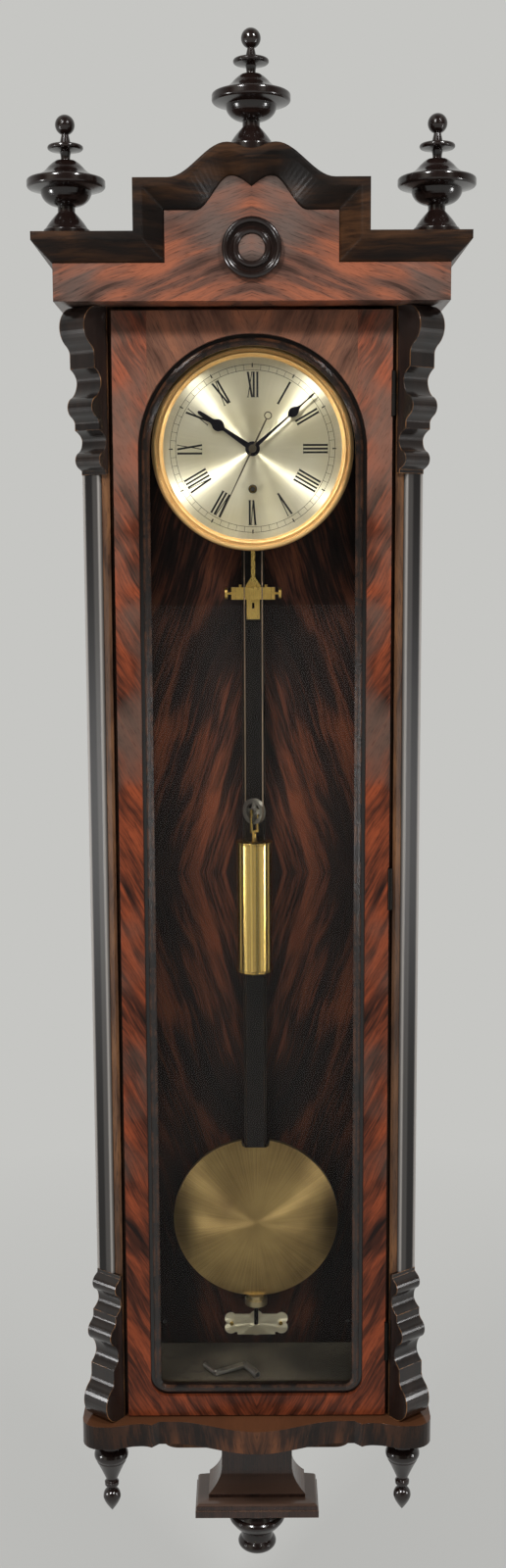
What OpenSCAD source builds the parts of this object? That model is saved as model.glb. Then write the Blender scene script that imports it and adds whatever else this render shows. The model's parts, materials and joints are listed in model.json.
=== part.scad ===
// Wall regulator clock: one weight, a seconds pendulum and a silvered dial in a glazed case.
//
// Millimetres. Z is up, the wall is the plane y = 0 and the clock stands out from it along -Y.
// The origin is the centre of the hanger hole. Heights in this file are measured from the centre
// of the dial, and the last lines hang the finished pieces at the origin.
// Depths are written f, the distance out from the wall, so a point lies at y = -f.

/* [Hanging] */
// Height of the hanger hole above the dial centre
hang_drop = 190; // [186:0.5:194]
// Diameter of the hanger hole
hanger_hole_d = 8; // [6:0.5:10]
// Width of the brass hanger plate
hanger_w = 60; // [50:1:80]
// Height of the brass hanger plate
hanger_h = 40; // [32:1:46]
// Thickness of the brass hanger plate
hanger_t = 2.5; // [2:0.1:3.5]
// Diameter of the two steadying holes low in the backboard
steady_d = 5; // [4:0.5:7]
// Spacing of the two steadying holes
steady_span = 240; // [200:5:280]

/* [Case] */
// Width over the two corner posts
case_w = 390; // [380:1:410]
// Room between the bob and the floor of the case
bob_room = 79.5; // [60:0.5:130]
// Underside of the header above the dial centre
case_top = 157.6; // [154:0.2:164]
// Thickness of the backboard
back_t = 14; // [10:0.5:16]
// Thickness of the side frames
side_t = 14; // [10:0.5:18]
// Depth from the wall to the front of the corner posts
post_f = 129; // [127:0.5:136]
// Depth of a corner post from its back to its front
post_d = 45; // [40:0.5:50]
// Width of a corner post across the front
post_w = 45; // [40:0.5:50]
// Width of the canted face, seen from the front
cant_w = 27; // [22:0.5:29]
// Angle of the canted face and its brackets
cant_a = 38; // [32:1:44]
// Width of the plain strip beside the canted face
strip_w = 3.5; // [2:0.5:6]
// Thickness of the ebonised pilaster strip
pilaster_t = 4; // [2:0.5:6]
// Bare part of the canted face beside the pilaster strip
pilaster_set = 8; // [5:0.5:12]
// Width of the rear stile of a side frame
side_stile_w = 26; // [20:1:34]
// Height of the top rail of a side frame
side_top_h = 47.6; // [36:0.2:60]
// Height of the bottom rail of a side frame
side_bottom_h = 59.4; // [50:0.2:70]
// Thickness of the glass
glass_t = 2.5; // [2:0.1:3]
// Thickness of the floor board
floor_t = 14; // [10:0.5:18]
// Height of the floor above the foot of the posts
floor_rise = 38.4; // [34:0.2:42]

/* [Header] */
// Thickness of the soffit and top boards
header_t = 10; // [8:0.5:14]
// Height of the frieze at its ends
frieze_h = 70.9; // [66:0.1:76]
// Overhang of the frieze past the corner posts
frieze_over = 25.4; // [22:0.2:30]
// Depth from the wall to the front of the frieze
frieze_f = 172; // [170:0.5:176]
// Thickness of the frieze board and its returns
frieze_t = 14; // [10:0.5:18]
// Overhang of the cornice past the frieze, at the sides
cornice_side = 20.5; // [16:0.5:24]
// Overhang of the cornice past the frieze, at the front
cornice_front_over = 25; // [20:0.5:30]
// Height of the cornice fascia at its ends
fascia_h = 9.1; // [7:0.1:12]
// Height of the bevel under the fascia
bevel_h = 21; // [16:0.5:26]
// Half width of the raised part of the crest
crest_x = 129.4; // [122:0.2:136]
// Rise of the crest shoulders
crest_rise = 55.8; // [48:0.2:64]
// Rise of the two crest humps over the shoulders
hump_rise = 36.4; // [28:0.2:44]
// Dip between the two humps
hump_dip = 6.6; // [2:0.2:10]
// Radius of the turned roundel
roundel_r = 33.2; // [28:0.2:38]
// Height of the roundel centre over the dial centre
roundel_z = 213.9; // [208:0.1:220]

/* [Turned pieces] */
// Height of a crest finial
finial_h = 136; // [120:1:150]
// Radius of the widest rim of a crest finial
finial_r = 44; // [38:0.5:48]
// Distance of the side finials from the centre line
finial_x = 207.6; // [202:0.2:212]
// Length of the drop under each end of the base
drop_h = 106; // [90:1:120]
// Radius of the widest part of a drop
drop_r = 21.5; // [17:0.5:24]
// Distance of the drops from the centre line
drop_x = 184; // [178:1:192]
// Distance of the drops from the wall
drop_f = 115; // [105:1:122]
// Radius of the ball under the pendant
boss_ball_r = 25; // [20:0.5:28]
// Length of the turned boss under the pendant
boss_h = 65.7; // [60:0.1:76]

/* [Brackets] */
// Height of a scrolled bracket
bracket_h = 187.5; // [176:0.5:196]
// Outward reach of the upper brackets
bracket_out = 37.4; // [32:0.2:40]
// Outward reach of the lower brackets
lower_out = 32.5; // [28:0.2:36]
// Thickness of a bracket across the canted face
bracket_t = 38; // [34:0.5:40]

/* [Base] */
// Thickness of the base board
base_t = 29.6; // [24:0.2:36]
// Width of the base board
base_w = 434; // [426:1:450]
// Reach of the base past the door at its middle
base_bulge = 36.8; // [30:0.2:44]
// Reach of the base past the door at its ears
base_ear = 24.6; // [20:0.2:30]
// Thickness of the board under the base
under_t = 13; // [10:0.5:18]
// Width of the board under the base
under_w = 236; // [220:2:260]
// Height of the pendant block
pendant_h = 130.3; // [124:0.5:140]
// Width of the pendant block at its foot
pendant_w = 160; // [150:1:170]

/* [Door] */
// Gap between the door and the corner posts
door_gap = 4.5; // [3.9:0.1:5.5]
// Gap over the door
door_gap_top = 4.6; // [3:0.1:6]
// Gap under the door
door_gap_foot = 1.9; // [1:0.1:3]
// Thickness of the door
door_t = 20; // [18:0.5:24]
// Width of a door stile
stile_w = 40; // [36:0.5:44]
// Veneer left between the door edge and the moulding
door_face = 28.5; // [24:0.5:32]
// Veneer left under the moulding
door_foot = 25.9; // [22:0.1:34]
// Height of the arch centre over the dial centre
arch_z = -4; // [-12:0.5:0]
// Radius of the lower corners of the door opening
corner_r = 22; // [16:0.5:26]
// Width of the moulding round the glass
mould_w = 13; // [11:0.5:15]
// Width of the sunk outer step of the moulding
mould_step = 4.5; // [3:0.5:6]
// Radius of the door hinge knuckles
knuckle_r = 2.5; // [2:0.1:2.8]
// Radius of the door hinge pins
pin_r = 1.2; // [1:0.05:1.4]
// Height of each door hinge
hinge_h = 50; // [40:1:64]

/* [Dial and hands] */
// Visible radius of the silvered dial
dial_r = 104.3; // [100:0.1:107]
// Thickness of the dial plate
dial_t = 2; // [1.5:0.1:2.5]
// Width of the brass bezel
bezel_w = 13.2; // [11:0.2:16]
// Height of the bezel in front of the dial
bezel_h = 10; // [7:0.2:11]
// Length of the hour hand
hour_l = 76.3; // [70:0.1:82]
// Length of the minute hand
minute_l = 96.1; // [90:0.1:99]
// Length of the seconds hand
seconds_l = 87.8; // [80:0.1:98]
// Length of the seconds hand's tail, to the middle of its ring
tail_l = 41.5; // [34:0.1:48]
// Hour hand at rest, degrees clockwise from twelve
hour_a = 304; // [0:1:360]
// Minute hand at rest, degrees clockwise from twelve
minute_a = 48.9; // [0:0.1:360]
// Seconds hand at rest, degrees clockwise from twelve
seconds_a = 205.7; // [0:0.1:360]

/* [Movement] */
// Width of the movement plates
plate_w = 110; // [106:1:124]
// Height of the movement plates above the dial centre
plate_top = 60; // [54:1:66]
// Depth of the movement plates below the dial centre
plate_foot = 80; // [78:1:86]
// Thickness of the movement plates
plate_t = 3; // [2.5:0.1:3.5]
// Distance of the winding arbor below the dial centre
wind_z = 46; // [45:0.1:47]
// Radius of the winding arbor
wind_r = 3; // [2.5:0.1:3.4]
// Radius of the great wheel
great_r = 32; // [29:0.1:33]
// Radius of the second wheel
second_r = 22; // [20:0.1:22.5]
// Radius of the third wheel
third_r = 18; // [17:0.1:18.5]
// Radius of the escape wheel
escape_r = 17; // [15:0.1:18]
// Radius of the arbor pivots
pivot_r = 1.25; // [1:0.05:1.4]
// Clearance of a running fit, on the radius
run_fit = 0.05; // [0.03:0.01:0.08]
// Clearance between moving pieces that must not touch
clear = 0.3; // [0.25:0.05:0.5]

/* [Pendulum] */
// Distance of the pendulum's plane from the wall
pend_f = 38; // [36:0.5:40]
// Height of the pendulum's bending point over the dial centre
pend_z = 27.5; // [25:0.5:30]
// Length from the bending point to the centre of the bob
pend_l = 994; // [975:1:1005]
// Width of the wooden rod
rod_w = 28; // [24:0.5:32]
// Thickness of the wooden rod
rod_t = 10; // [8:0.5:11]
// Diameter of the bob
bob_d = 210; // [196:1:214]
// Thickness of the bob
bob_t = 30; // [24:0.5:31]
// Diameter of the rating nut
nut_d = 28.7; // [22:0.1:34]
// Height of the rating nut
nut_h = 12; // [9:0.5:15]
// Length of the threaded tip below the rod
screw_l = 55; // [48:0.5:60]
// Length of the crutch from its arbor to the beat adjuster
crutch_l = 196.3; // [186:0.5:206]
// Width of the beat adjuster's block
adjust_w = 52.5; // [46:0.5:56]
// Height of the beat adjuster's block
adjust_h = 14.8; // [12:0.2:18]

/* [Weight] */
// Radius of the weight
weight_r = 21.6; // [18:0.2:22]
// Length of the weight
weight_h = 165; // [140:1:190]
// Depth of the pulley's centre below the dial centre
pulley_z = 431; // [400:1:460]
// Outer radius of the pulley
pulley_r = 15.5; // [15.2:0.1:16.5]
// Radius at which the line runs round the pulley
line_bend_r = 14; // [13:0.1:14.2]
// Angle of the pulley from the front
pulley_a = 41; // [35:1:45]
// Diameter of the gut line
line_d = 1.5; // [1.2:0.1:1.7]
// Distance of the weight's axis from the wall
weight_f = 80; // [79:0.5:81]

/* [Furniture] */
// Width of the beat plate
beat_w = 82.3; // [70:0.1:90]
// Height of the beat plate
beat_h = 33.6; // [28:0.1:38]
// Thickness of the beat plate
beat_t = 2; // [1.5:0.1:3]
// Throw of the winding crank
crank_l = 43.5; // [38:0.5:50]

/* [Hidden] */
$fn = 96;

// Case, in plan: half widths and depths
half_w = case_w / 2;
case_foot = pend_z - pend_l - bob_d / 2 - bob_room - floor_rise;
post_back = post_f - post_d;
cant_d = cant_w * tan(cant_a);
cant_l = cant_w / cos(cant_a);
strip_x = half_w - cant_w - strip_w;
floor_z = case_foot + floor_rise;
side_glass_lap = 6;

// Door
door_half = strip_x - door_gap;
door_back = post_f - 17;
door_front = door_back + door_t;
rebate_f = door_back - 0.5;
door_top_z = case_top - door_gap_top;
door_foot_z = case_foot + door_gap_foot;
open_half = door_half - door_face;
open_foot = door_foot_z + door_foot;
glass_f = door_back + 7;
glass_lap = 3.7;
hinge_x = door_half + 1.5;
hinge_f = door_front - 1;
hinge_leaf_t = 1.2;
hinge_zs = [door_top_z - 93, (door_top_z + door_foot_z) / 2, door_foot_z + 97.5];

// Header and crest
frieze_half = half_w + frieze_over;
header_back = frieze_f - frieze_t;
header_top_z = case_top + frieze_h;
cornice_half = frieze_half + cornice_side;
cornice_f = frieze_f + cornice_front_over;
shoulder_z = header_top_z + crest_rise;
hump_z = shoulder_z + hump_rise;
finial_seat_z = hump_z - 1.3;
finial_seat = finial_r * 0.575;
finial_f = header_back - finial_seat;
crest_steps = 14;

// Depths of the movement, each piece in front of the one before
rod_front = pend_f + rod_t / 2;
crutch_f = rod_front + 4.5;
crutch_t = 3;
adjust_f = rod_front + 2;
adjust_t = 10;
back_plate_f = adjust_f + adjust_t + 1;
plates_gap = 33;
front_plate_f = back_plate_f + plate_t + plates_gap;
great_f = back_plate_f + plate_t + 1.5;
drum_f = great_f + 3.5;
drum_l = 18;
escape_f = back_plate_f + plate_t + 13;
third_f = escape_f + 6;
second_f = third_f + 6;
dial_f = front_plate_f + plate_t + 3;
hour_f = dial_f + dial_t + 2.5;
minute_f = hour_f + 3;
seconds_f = minute_f + 3.5;

// Wheel places: each pinion lies one clearance off the wheel that drives it
second_pinion_r = 5;
third_pinion_r = 4.5;
escape_pinion_r = 4;
mesh_great = great_r + second_pinion_r + clear;
mesh_second = second_r + third_pinion_r + clear;
mesh_third = third_r + escape_pinion_r + clear;
second_side = 46;
second_p = [-mesh_great * sin(second_side), -wind_z + mesh_great * cos(second_side)];
third_p = meet(second_p, mesh_second, [0, 0], mesh_third);

// Line, drum and pulley: the two runs hang straight from the drum and from the lug
run_dx = line_bend_r * cos(pulley_a);
run_df = line_bend_r * sin(pulley_a);
drum_r = run_dx - line_d / 2 - clear;
weight_top = -pulley_z - pulley_r - 18.8;

// Pendulum heights
bob_z = pend_z - pend_l;
bob_foot = bob_z - bob_d / 2;
nut_top = bob_foot - clear;
rod_foot = bob_foot + 14;
screw_r = 2.7;
spring_foot = pend_z - 19.5;
adjust_z = pend_z - crutch_l;
beat_z = rod_foot - screw_l - 10;

// Screws: x, height, depth of the seat, head radius
screw_shaft_r = 1.6;
screw_l_in = 9;
SCREWS = [
    for (s = [-1, 1]) [s * (beat_w / 2 - 9), beat_z, back_t + beat_t, 2.6],
    for (s = [-1, 1], h = [-8, 8]) [s * (plate_w / 2 + 2), -plate_foot - 5 + h, back_t + 5, 3.4]
];

// ---- Helpers ----
// Point at distance a from p and b from q, on the left of the line from p to q
function meet(p, a, q, b) =
    let (d = norm(q - p), m = (a * a - b * b + d * d) / (2 * d), h = sqrt(a * a - m * m), u = (q - p) / d)
    p + m * u + h * [-u[1], u[0]];
function ease(a, b, u) = a + (b - a) * (1 - cos(180 * u)) / 2;
function arc(cx, cy, r, a0, a1, n = 10) =
    [for (i = [0:n]) [cx + r * cos(a0 + (a1 - a0) * i / n), cy + r * sin(a0 + (a1 - a0) * i / n)]];
function bend(p, c, q, n = 8) =
    [for (i = [0:n]) let (u = i / n) (1 - u) * (1 - u) * p + 2 * u * (1 - u) * c + u * u * q];
function flip_x(pts) = [for (i = [len(pts) - 1:-1:0]) [-pts[i][0], pts[i][1]]];
function tail_of(pts) = [for (i = [1:len(pts) - 1]) pts[i]];

// A box between two x, two depths and two heights
module slab(x0, x1, f0, f1, z0, z1) translate([x0, -f1, z0]) cube([x1 - x0, f1 - f0, z1 - z0]);
// A front view (x, z) pushed out from depth f0 to f1
module front(f0, f1) translate([0, -f0, 0]) rotate([90, 0, 0]) linear_extrude(f1 - f0) children();
// A plan view (x, depth) raised from z0 to z1
module plan(z0, z1) translate([0, 0, z0]) mirror([0, 1, 0]) linear_extrude(z1 - z0) children();
// A side view (depth, z) spread from x0 to x1
module across(x0, x1) translate([x1, 0, 0]) rotate([90, 0, -90]) linear_extrude(x1 - x0) children();
// A profile (radius, depth) turned about the line through (x, z) square to the wall
module turned_front(x, z) translate([x, 0, z]) rotate([90, 0, 0]) rotate_extrude() children();
// A profile (radius, z) turned about the vertical line through (x, depth)
module turned_up(x, f) translate([x, -f, 0]) rotate_extrude() children();
// A disc square to the wall
module disc(x, z, r, f0, f1) translate([x, -f0, z]) rotate([90, 0, 0]) cylinder(r = r, h = f1 - f0);
// The right side as drawn, the left side mirrored
module sided(s) mirror([s < 0 ? 1 : 0, 0, 0]) children();
module both_sides() for (s = [-1, 1]) sided(s) children();
// Onto the canted face: x runs along the face, -y straight out of it
module on_cant() translate([half_w - cant_w, -post_f, 0]) rotate([0, 0, cant_a]) children();

// ---- Case ----
module backboard() color("sienna") difference() {
    slab(-half_w, half_w, 0, back_t, case_foot, header_top_z - header_t);
    slab(-hanger_w / 2, hanger_w / 2, -1, hanger_t, hang_drop - hanger_h / 2, hang_drop + hanger_h / 2);
    disc(0, hang_drop, hanger_hole_d / 2 + 5, -1, back_t - 2);
    for (s = [-1, 1]) disc(s * steady_span / 2, floor_z + 30, steady_d / 2, -1, back_t + 1);
    screw_holes();
}

module hanger_plate() color("gold") difference() {
    slab(-hanger_w / 2, hanger_w / 2, 0, hanger_t, hang_drop - hanger_h / 2, hang_drop + hanger_h / 2);
    disc(0, hang_drop, hanger_hole_d / 2, -1, hanger_t + 1);
}

module corner_post(s) color("saddlebrown") sided(s) plan(case_foot, case_top) polygon([
    [half_w - post_w, post_back], [half_w - post_w, rebate_f], [strip_x, rebate_f], [strip_x, post_f],
    [half_w - cant_w, post_f], [half_w, post_f - cant_d], [half_w, post_back]
]);

module pilaster_strips() color("dimgray") both_sides() on_cant()
    plan(case_foot + bracket_h, case_top - bracket_h) polygon(concat(
        [[cant_l, 0], [cant_l, pilaster_t]],
        arc(pilaster_set + pilaster_t, 0, pilaster_t, 90, 180, 8)
    ));

module side_frames() color("peru") both_sides() {
    slab(half_w - side_t, half_w, back_t, back_t + side_stile_w, case_foot, case_top);
    slab(half_w - side_t, half_w, back_t + side_stile_w, post_back, case_foot, case_foot + side_bottom_h);
    slab(half_w - side_t, half_w, back_t + side_stile_w, post_back, case_top - side_top_h, case_top);
}

module side_glasses() color("lightcyan") both_sides() slab(
    half_w - side_t - glass_t, half_w - side_t,
    back_t + side_stile_w - side_glass_lap, post_back,
    case_foot + side_bottom_h - side_glass_lap, case_top - side_top_h + side_glass_lap
);

module floor_board() color("chocolate") {
    plan(floor_z - floor_t, floor_z) polygon([
        [-half_w + side_t, back_t], [half_w - side_t, back_t], [half_w - side_t, post_back],
        [half_w - post_w, post_back], [half_w - post_w, rebate_f], [-half_w + post_w, rebate_f],
        [-half_w + post_w, post_back], [-half_w + side_t, post_back]
    ]);
    slab(-half_w + post_w, half_w - post_w, rebate_f - 14.5, rebate_f, case_foot, floor_z - floor_t);
}

// ---- Header ----
// Soffit, dust board and the two veneered returns
module header_boards() color("saddlebrown") {
    slab(-frieze_half + frieze_t, frieze_half - frieze_t, back_t, header_back, case_top, case_top + header_t);
    slab(-frieze_half + frieze_t, frieze_half - frieze_t, 0, header_back, header_top_z - header_t, header_top_z);
    both_sides() slab(frieze_half - frieze_t, frieze_half, 0, header_back, case_top, header_top_z);
}

// One half of a crest line, from its end to the middle: a straight ledge, a riser with a shoulder,
// then two humps with a dip between them, which grows to a crease on the inner lines. in is how far
// the line lies inside the outer one.
function crest_half(end_x, ledge_z, in) =
    let (riser = crest_x - in * 1.1, shoulder = shoulder_z - in, top = hump_z - in,
         foot = crest_x - 38.4 - max(0, in - fascia_h) * 1.4,
         hump_x = 26.5 - in * 0.13, dip = hump_dip + in * 0.16, crease = min(1, in / 30))
    concat(
        [[end_x, ledge_z], [riser, ledge_z], [riser, shoulder], [foot, shoulder]],
        [for (i = [1:crest_steps]) let (u = i / crest_steps)
            [foot + (hump_x - foot) * u, ease(shoulder, top, u)]],
        [for (i = [1:crest_steps / 2]) let (u = 1 - 2 * i / crest_steps,
            share = (1 - crease) * (1 + cos(180 * u)) / 2 + crease * (1 - sin(90 * u)))
            [hump_x * u, top - dip * share]]
    );
function crest_line(end_x, ledge_z, in = 0) =
    let (half = crest_half(end_x, ledge_z, in)) concat(half, tail_of(flip_x(half)));

// The board of the frieze, and the block behind its crest that carries the middle finial
module frieze_board() color("chocolate") {
    front(header_back, frieze_f) polygon(concat(
        [[-frieze_half, case_top], [frieze_half, case_top]], crest_line(frieze_half, header_top_z)
    ));
    slab(-finial_seat, finial_seat, finial_f - finial_seat, header_back, header_top_z, finial_seat_z);
}

// Fascia and bevel follow the crest: four lines make the four edges of the moulding
module cornice_front() color("maroon") {
    outer = crest_line(cornice_half, header_top_z);
    inner = crest_line(cornice_half, header_top_z - fascia_h, fascia_h);
    seat = crest_line(frieze_half, header_top_z - fascia_h - bevel_h, fascia_h + bevel_h);
    back = crest_line(frieze_half, header_top_z);
    n = len(outer);
    pts = [for (i = [0:n - 1]) each [
        [outer[i][0], -cornice_f, outer[i][1]], [inner[i][0], -cornice_f, inner[i][1]],
        [seat[i][0], -frieze_f, seat[i][1]], [back[i][0], -frieze_f, back[i][1]]
    ]];
    sides = [for (i = [0:n - 2], j = [0:3]) let (a = 4 * i + j, b = 4 * i + (j + 1) % 4)
        each [[a, b, b + 4], [a, b + 4, a + 4]]];
    end = 4 * (n - 1);
    caps = [[3, 2, 1], [3, 1, 0], [end, end + 1, end + 2], [end, end + 2, end + 3]];
    polyhedron(points = pts, faces = concat(sides, caps));
}

module cornice_returns() color("maroon") both_sides() intersection() {
    front(0, cornice_f) polygon([
        [frieze_half, header_top_z], [cornice_half, header_top_z], [cornice_half, header_top_z - fascia_h],
        [frieze_half, header_top_z - fascia_h - bevel_h]
    ]);
    plan(case_top, header_top_z + 1) polygon([
        [frieze_half, 0], [cornice_half, 0], [cornice_half, cornice_f], [frieze_half, frieze_f]
    ]);
}

module roundel() color("darkslategray") {
    rim = roundel_r * 0.1;
    inner = roundel_r * 0.55;
    turned_front(0, roundel_z) polygon(concat(
        [[0, frieze_f], [roundel_r, frieze_f]],
        arc(roundel_r - rim, frieze_f + 5, rim, 0, 90, 6),
        bend([roundel_r - rim, frieze_f + 5 + rim], [roundel_r * 0.8, frieze_f + 8], [roundel_r * 0.78, frieze_f + 3]),
        [[inner + rim, frieze_f + 3]],
        arc(inner, frieze_f + 3, rim, 0, 180, 8),
        [[0, frieze_f + 3]]
    ));
}

// Heights and radii of a finial, as shares of its own height and widest radius
module finial(x, z) {
    h = finial_h / 136;
    r = finial_r / 44;
    outline = concat(
        // foot
        [[0, 0], [23.5, 0]], arc(23.5, 3, 3, -90, 0, 4), arc(23.5, 9.8, 3, 0, 60, 4),
        bend([24, 12.8], [20, 20], [11, 29.5]), [[9.7, 31], [9.7, 36.5]],
        // bowl, wide rim and dome
        bend([11, 37.5], [25, 39.5], [28.5, 51]), [[29, 53.5], [42, 56.5]],
        arc(41, 59.5, 3, -45, 0, 3), arc(41, 64, 3, 0, 80, 4),
        bend([40.5, 67], [28, 70.5], [22, 77]), bend([22, 77], [17, 83], [12, 86]), [[8, 87], [5.3, 87.3]],
        // neck with its thin collar, and the ball
        bend([5.3, 87.3], [4.8, 91], [6.4, 96], 6), arc(17.2, 100.5, 2.8, -70, 70, 6), [[7, 103.8]],
        bend([6.5, 104], [5.2, 109], [3.9, 115]), arc(0, 125, 11, -69, 90, 14)
    );
    translate([0, 0, z]) turned_up(x, finial_f) polygon([for (p = outline) [p[0] * r, p[1] * h]]);
}

module finial_centre() color("black") finial(0, finial_seat_z);
module finial_left() color("black") finial(-finial_x, header_top_z);
module finial_right() color("black") finial(finial_x, header_top_z);

// ---- Brackets ----
// Outline of a bracket from its top down: three rolls. The first two run out into a flat fillet
// with a deep hollow below it.
function bracket_outline(reach, h) =
    let (o = reach / 37.4, k = h / 187.5)
    [for (p = concat(
        [[0, 0], [11, 0]], arc(13.4, -24, 24, 90, -50, 14), bend([28.8, -42.4], [21.5, -47.5], [21.2, -53], 6),
        bend([21, -69], [9, -77], [10.8, -86]), bend([10.8, -86], [12.5, -95], [18, -99.8]),
        arc(14.2, -112, 12.5, 70, -50, 10), bend([22.2, -121.6], [15.3, -126], [15, -130], 6),
        bend([15, -137.5], [3.5, -143], [3.6, -150]), bend([3.6, -150], [4, -158], [8.6, -161.2]),
        arc(5.5, -171, 10, 70, -60, 8),
        [[5, -183], [5, -187.5], [0, -187.5]]
    )) [p[0] * o, p[1] * k]];

module bracket(s, reach) sided(s) on_cant() across(cant_l - bracket_t, cant_l) polygon(bracket_outline(reach, bracket_h));
module upper_bracket(s) color("black") translate([0, 0, case_top]) bracket(s, bracket_out);
module lower_bracket(s) color("black") translate([0, 0, case_foot]) mirror([0, 0, 1]) bracket(s, lower_out);

// ---- Base ----
// Right half of the serpentine front, from the middle to the end: a bulge, a notch with a sharp
// step, a shallow hollow and a rounded ear
function base_half() =
    let (x = base_w / 2, notch = door_front + 11.5, mid = door_front + base_bulge,
         ear = door_front + base_ear, nose = x - 35, bulge_x = 105, hollow_x = 148)
    concat(
        [for (i = [0:12]) let (u = i / 12) [bulge_x * u, ease(mid, notch, u)]],
        [[121.5, notch], [130.5, notch + 8.5]],
        bend([130.5, notch + 8.5], [138, notch + 4], [hollow_x, notch + 5.5], 5),
        [for (i = [1:6]) let (u = i / 6) [hollow_x + (nose - hollow_x) * u, ease(notch + 5.5, ear, u)]],
        arc(x - 24, ear - 24, 24, 80, 0, 6)
    );

module base_plate() color("black") plan(case_foot - base_t, case_foot)
    polygon(concat(base_half(), [[base_w / 2, 0], [-base_w / 2, 0]], flip_x(base_half())));

module base_underboard() color("gray") plan(case_foot - base_t - under_t, case_foot - base_t) {
    r = 20;
    f = door_front - 2;
    polygon(concat(
        arc(under_w / 2 - r, f - r, r, 0, 90, 8), arc(-under_w / 2 + r, f - r, r, 90, 180, 8),
        [[-under_w / 2, 0], [under_w / 2, 0]]
    ));
}

module drop_finials() color("black") {
    r = drop_r / 21.5;
    h = drop_h / 106;
    outline = concat(
        [[0, 0], [15, 0], [15, -4]], bend([15, -4], [11, -12], [13, -19]),
        arc(12.3, -28.5, 9.2, 70, -45, 10), bend([18.8, -36.5], [11, -52], [6.3, -64]),
        [[8.9, -66], [8.9, -69.5]], bend([8.4, -71], [4.5, -73], [4.2, -76]),
        bend([4.2, -76], [10.5, -76.5], [11.1, -86], 6), bend([11.1, -86], [10.5, -93], [0, -106], 6)
    );
    for (s = [-1, 1]) translate([0, 0, case_foot - base_t]) turned_up(s * drop_x, drop_f)
        polygon([for (p = outline) [p[0] * r, p[1] * h]]);
}

// Half width of the pendant block at each depth under the base: a waisted shaft, a long slope, a
// quarter round and a fascia
function pendant_edge() =
    let (k = pendant_h / 130.3, w = pendant_w / 2 - 80)
    [for (p = concat(
        bend([52, 0], [46.5, -14], [46, -42]), bend([46, -80], [47, -96], [62, -106.5]),
        [[63, -107], [63, -112], [75, -113]], arc(75.5, -116.4, 3.2, 80, 0, 5),
        [[78.7, -121], [80, -121.3], [80, -130.3]]
    )) [p[0] + w, p[1] * k]];

// The same edge on the front and on the sides, mitred at the corners
module pendant_block() color("dimgray") {
    edge = pendant_edge();
    deep = 5;
    translate([0, 0, case_foot - base_t - under_t]) intersection() {
        front(-1, pendant_w) polygon(concat(flip_x(edge), edge));
        across(-pendant_w, pendant_w) polygon(concat(
            [[0, 0]], [for (p = edge) [p[0] - deep, p[1]]], [[0, -pendant_h]]
        ));
    }
}

// A neck, a wide ring, a hollow cone and a flattened knob
module pendant_boss() color("black") {
    flat = boss_ball_r * 0.49;
    translate([0, 0, case_foot - base_t - under_t - pendant_h]) turned_up(0, pendant_w / 4 - 1) polygon(concat(
        [[0, 0], [28, 0], [28, -6]], arc(30.6, -17.5, 6, 80, -60, 6),
        bend([33, -24], [29, -30], [22.5, -35]), [[20.5, -37], [20.5, -41.5]],
        [for (i = [0:12]) let (a = 35 - 125 * i / 12)
            [boss_ball_r * cos(a), flat - boss_h + flat * sin(a)]]
    ));
}

// ---- Door ----
// The opening, drawn in by a given amount: an arch over straight sides with rounded lower corners
module opening(in = 0) {
    w = open_half - in;
    r = corner_r - in;
    foot = open_foot + in;
    translate([0, arch_z]) circle(r = w);
    translate([-w, foot + r]) square([2 * w, arch_z - foot - r]);
    translate([-w + r, foot]) square([2 * (w - r), r + 1]);
    for (s = [-1, 1]) translate([s * (w - r), foot + r]) circle(r = r);
}

module door_board(x0, x1, z0, z1) difference() {
    slab(x0, x1, door_back, door_front, z0, z1);
    front(door_back - 1, door_front + 1) opening();
}

module knuckle_notch() for (z = hinge_zs)
    translate([hinge_x, -hinge_f, z - hinge_h / 2 - 1]) cylinder(r = knuckle_r + 0.4, h = hinge_h + 2);

module door_stile_left() color("sienna")
    door_board(-door_half, -door_half + stile_w, door_foot_z, door_top_z);

module door_stile_right() color("sienna") difference() {
    door_board(door_half - stile_w, door_half, door_foot_z, door_top_z);
    knuckle_notch();
}

module door_top_rail() color("peru")
    door_board(-door_half + stile_w, door_half - stile_w, arch_z, door_top_z);

module door_bottom_rail() color("peru")
    door_board(-door_half + stile_w, door_half - stile_w, door_foot_z, open_foot + corner_r);

// The glazing moulding in layers from back to front: a rebate for the glass, a sunk step, and a bead
// rounded over in fine steps. Each layer runs between two offsets in from the opening's edge, and
// starts 1 mm inside the one behind it, so that they join.
module mould_layer(f0, f1, out, in) front(f0, f1) difference() {
    opening(out);
    opening(in);
}

module door_moulding() color("black") {
    w = mould_w;
    bead = (w - mould_step) / 2;
    bead_f = door_front - 1 - bead;
    steps = 5;
    mould_layer(door_back, glass_f + glass_t + 1, 0, w - glass_lap);
    mould_layer(glass_f + glass_t, door_front - 6, 0, w);
    mould_layer(door_front - 7, bead_f, mould_step, w);
    for (i = [0:steps - 1]) {
        rise = bead * sin(90 * (i + 1) / steps);
        in = bead * (1 - cos(90 * (i + 0.6) / steps));
        mould_layer(bead_f - 1, bead_f + rise, mould_step + in, w - in);
    }
}

module door_glass() color("lightcyan") front(glass_f, glass_f + glass_t) opening(mould_w - glass_lap);

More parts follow.
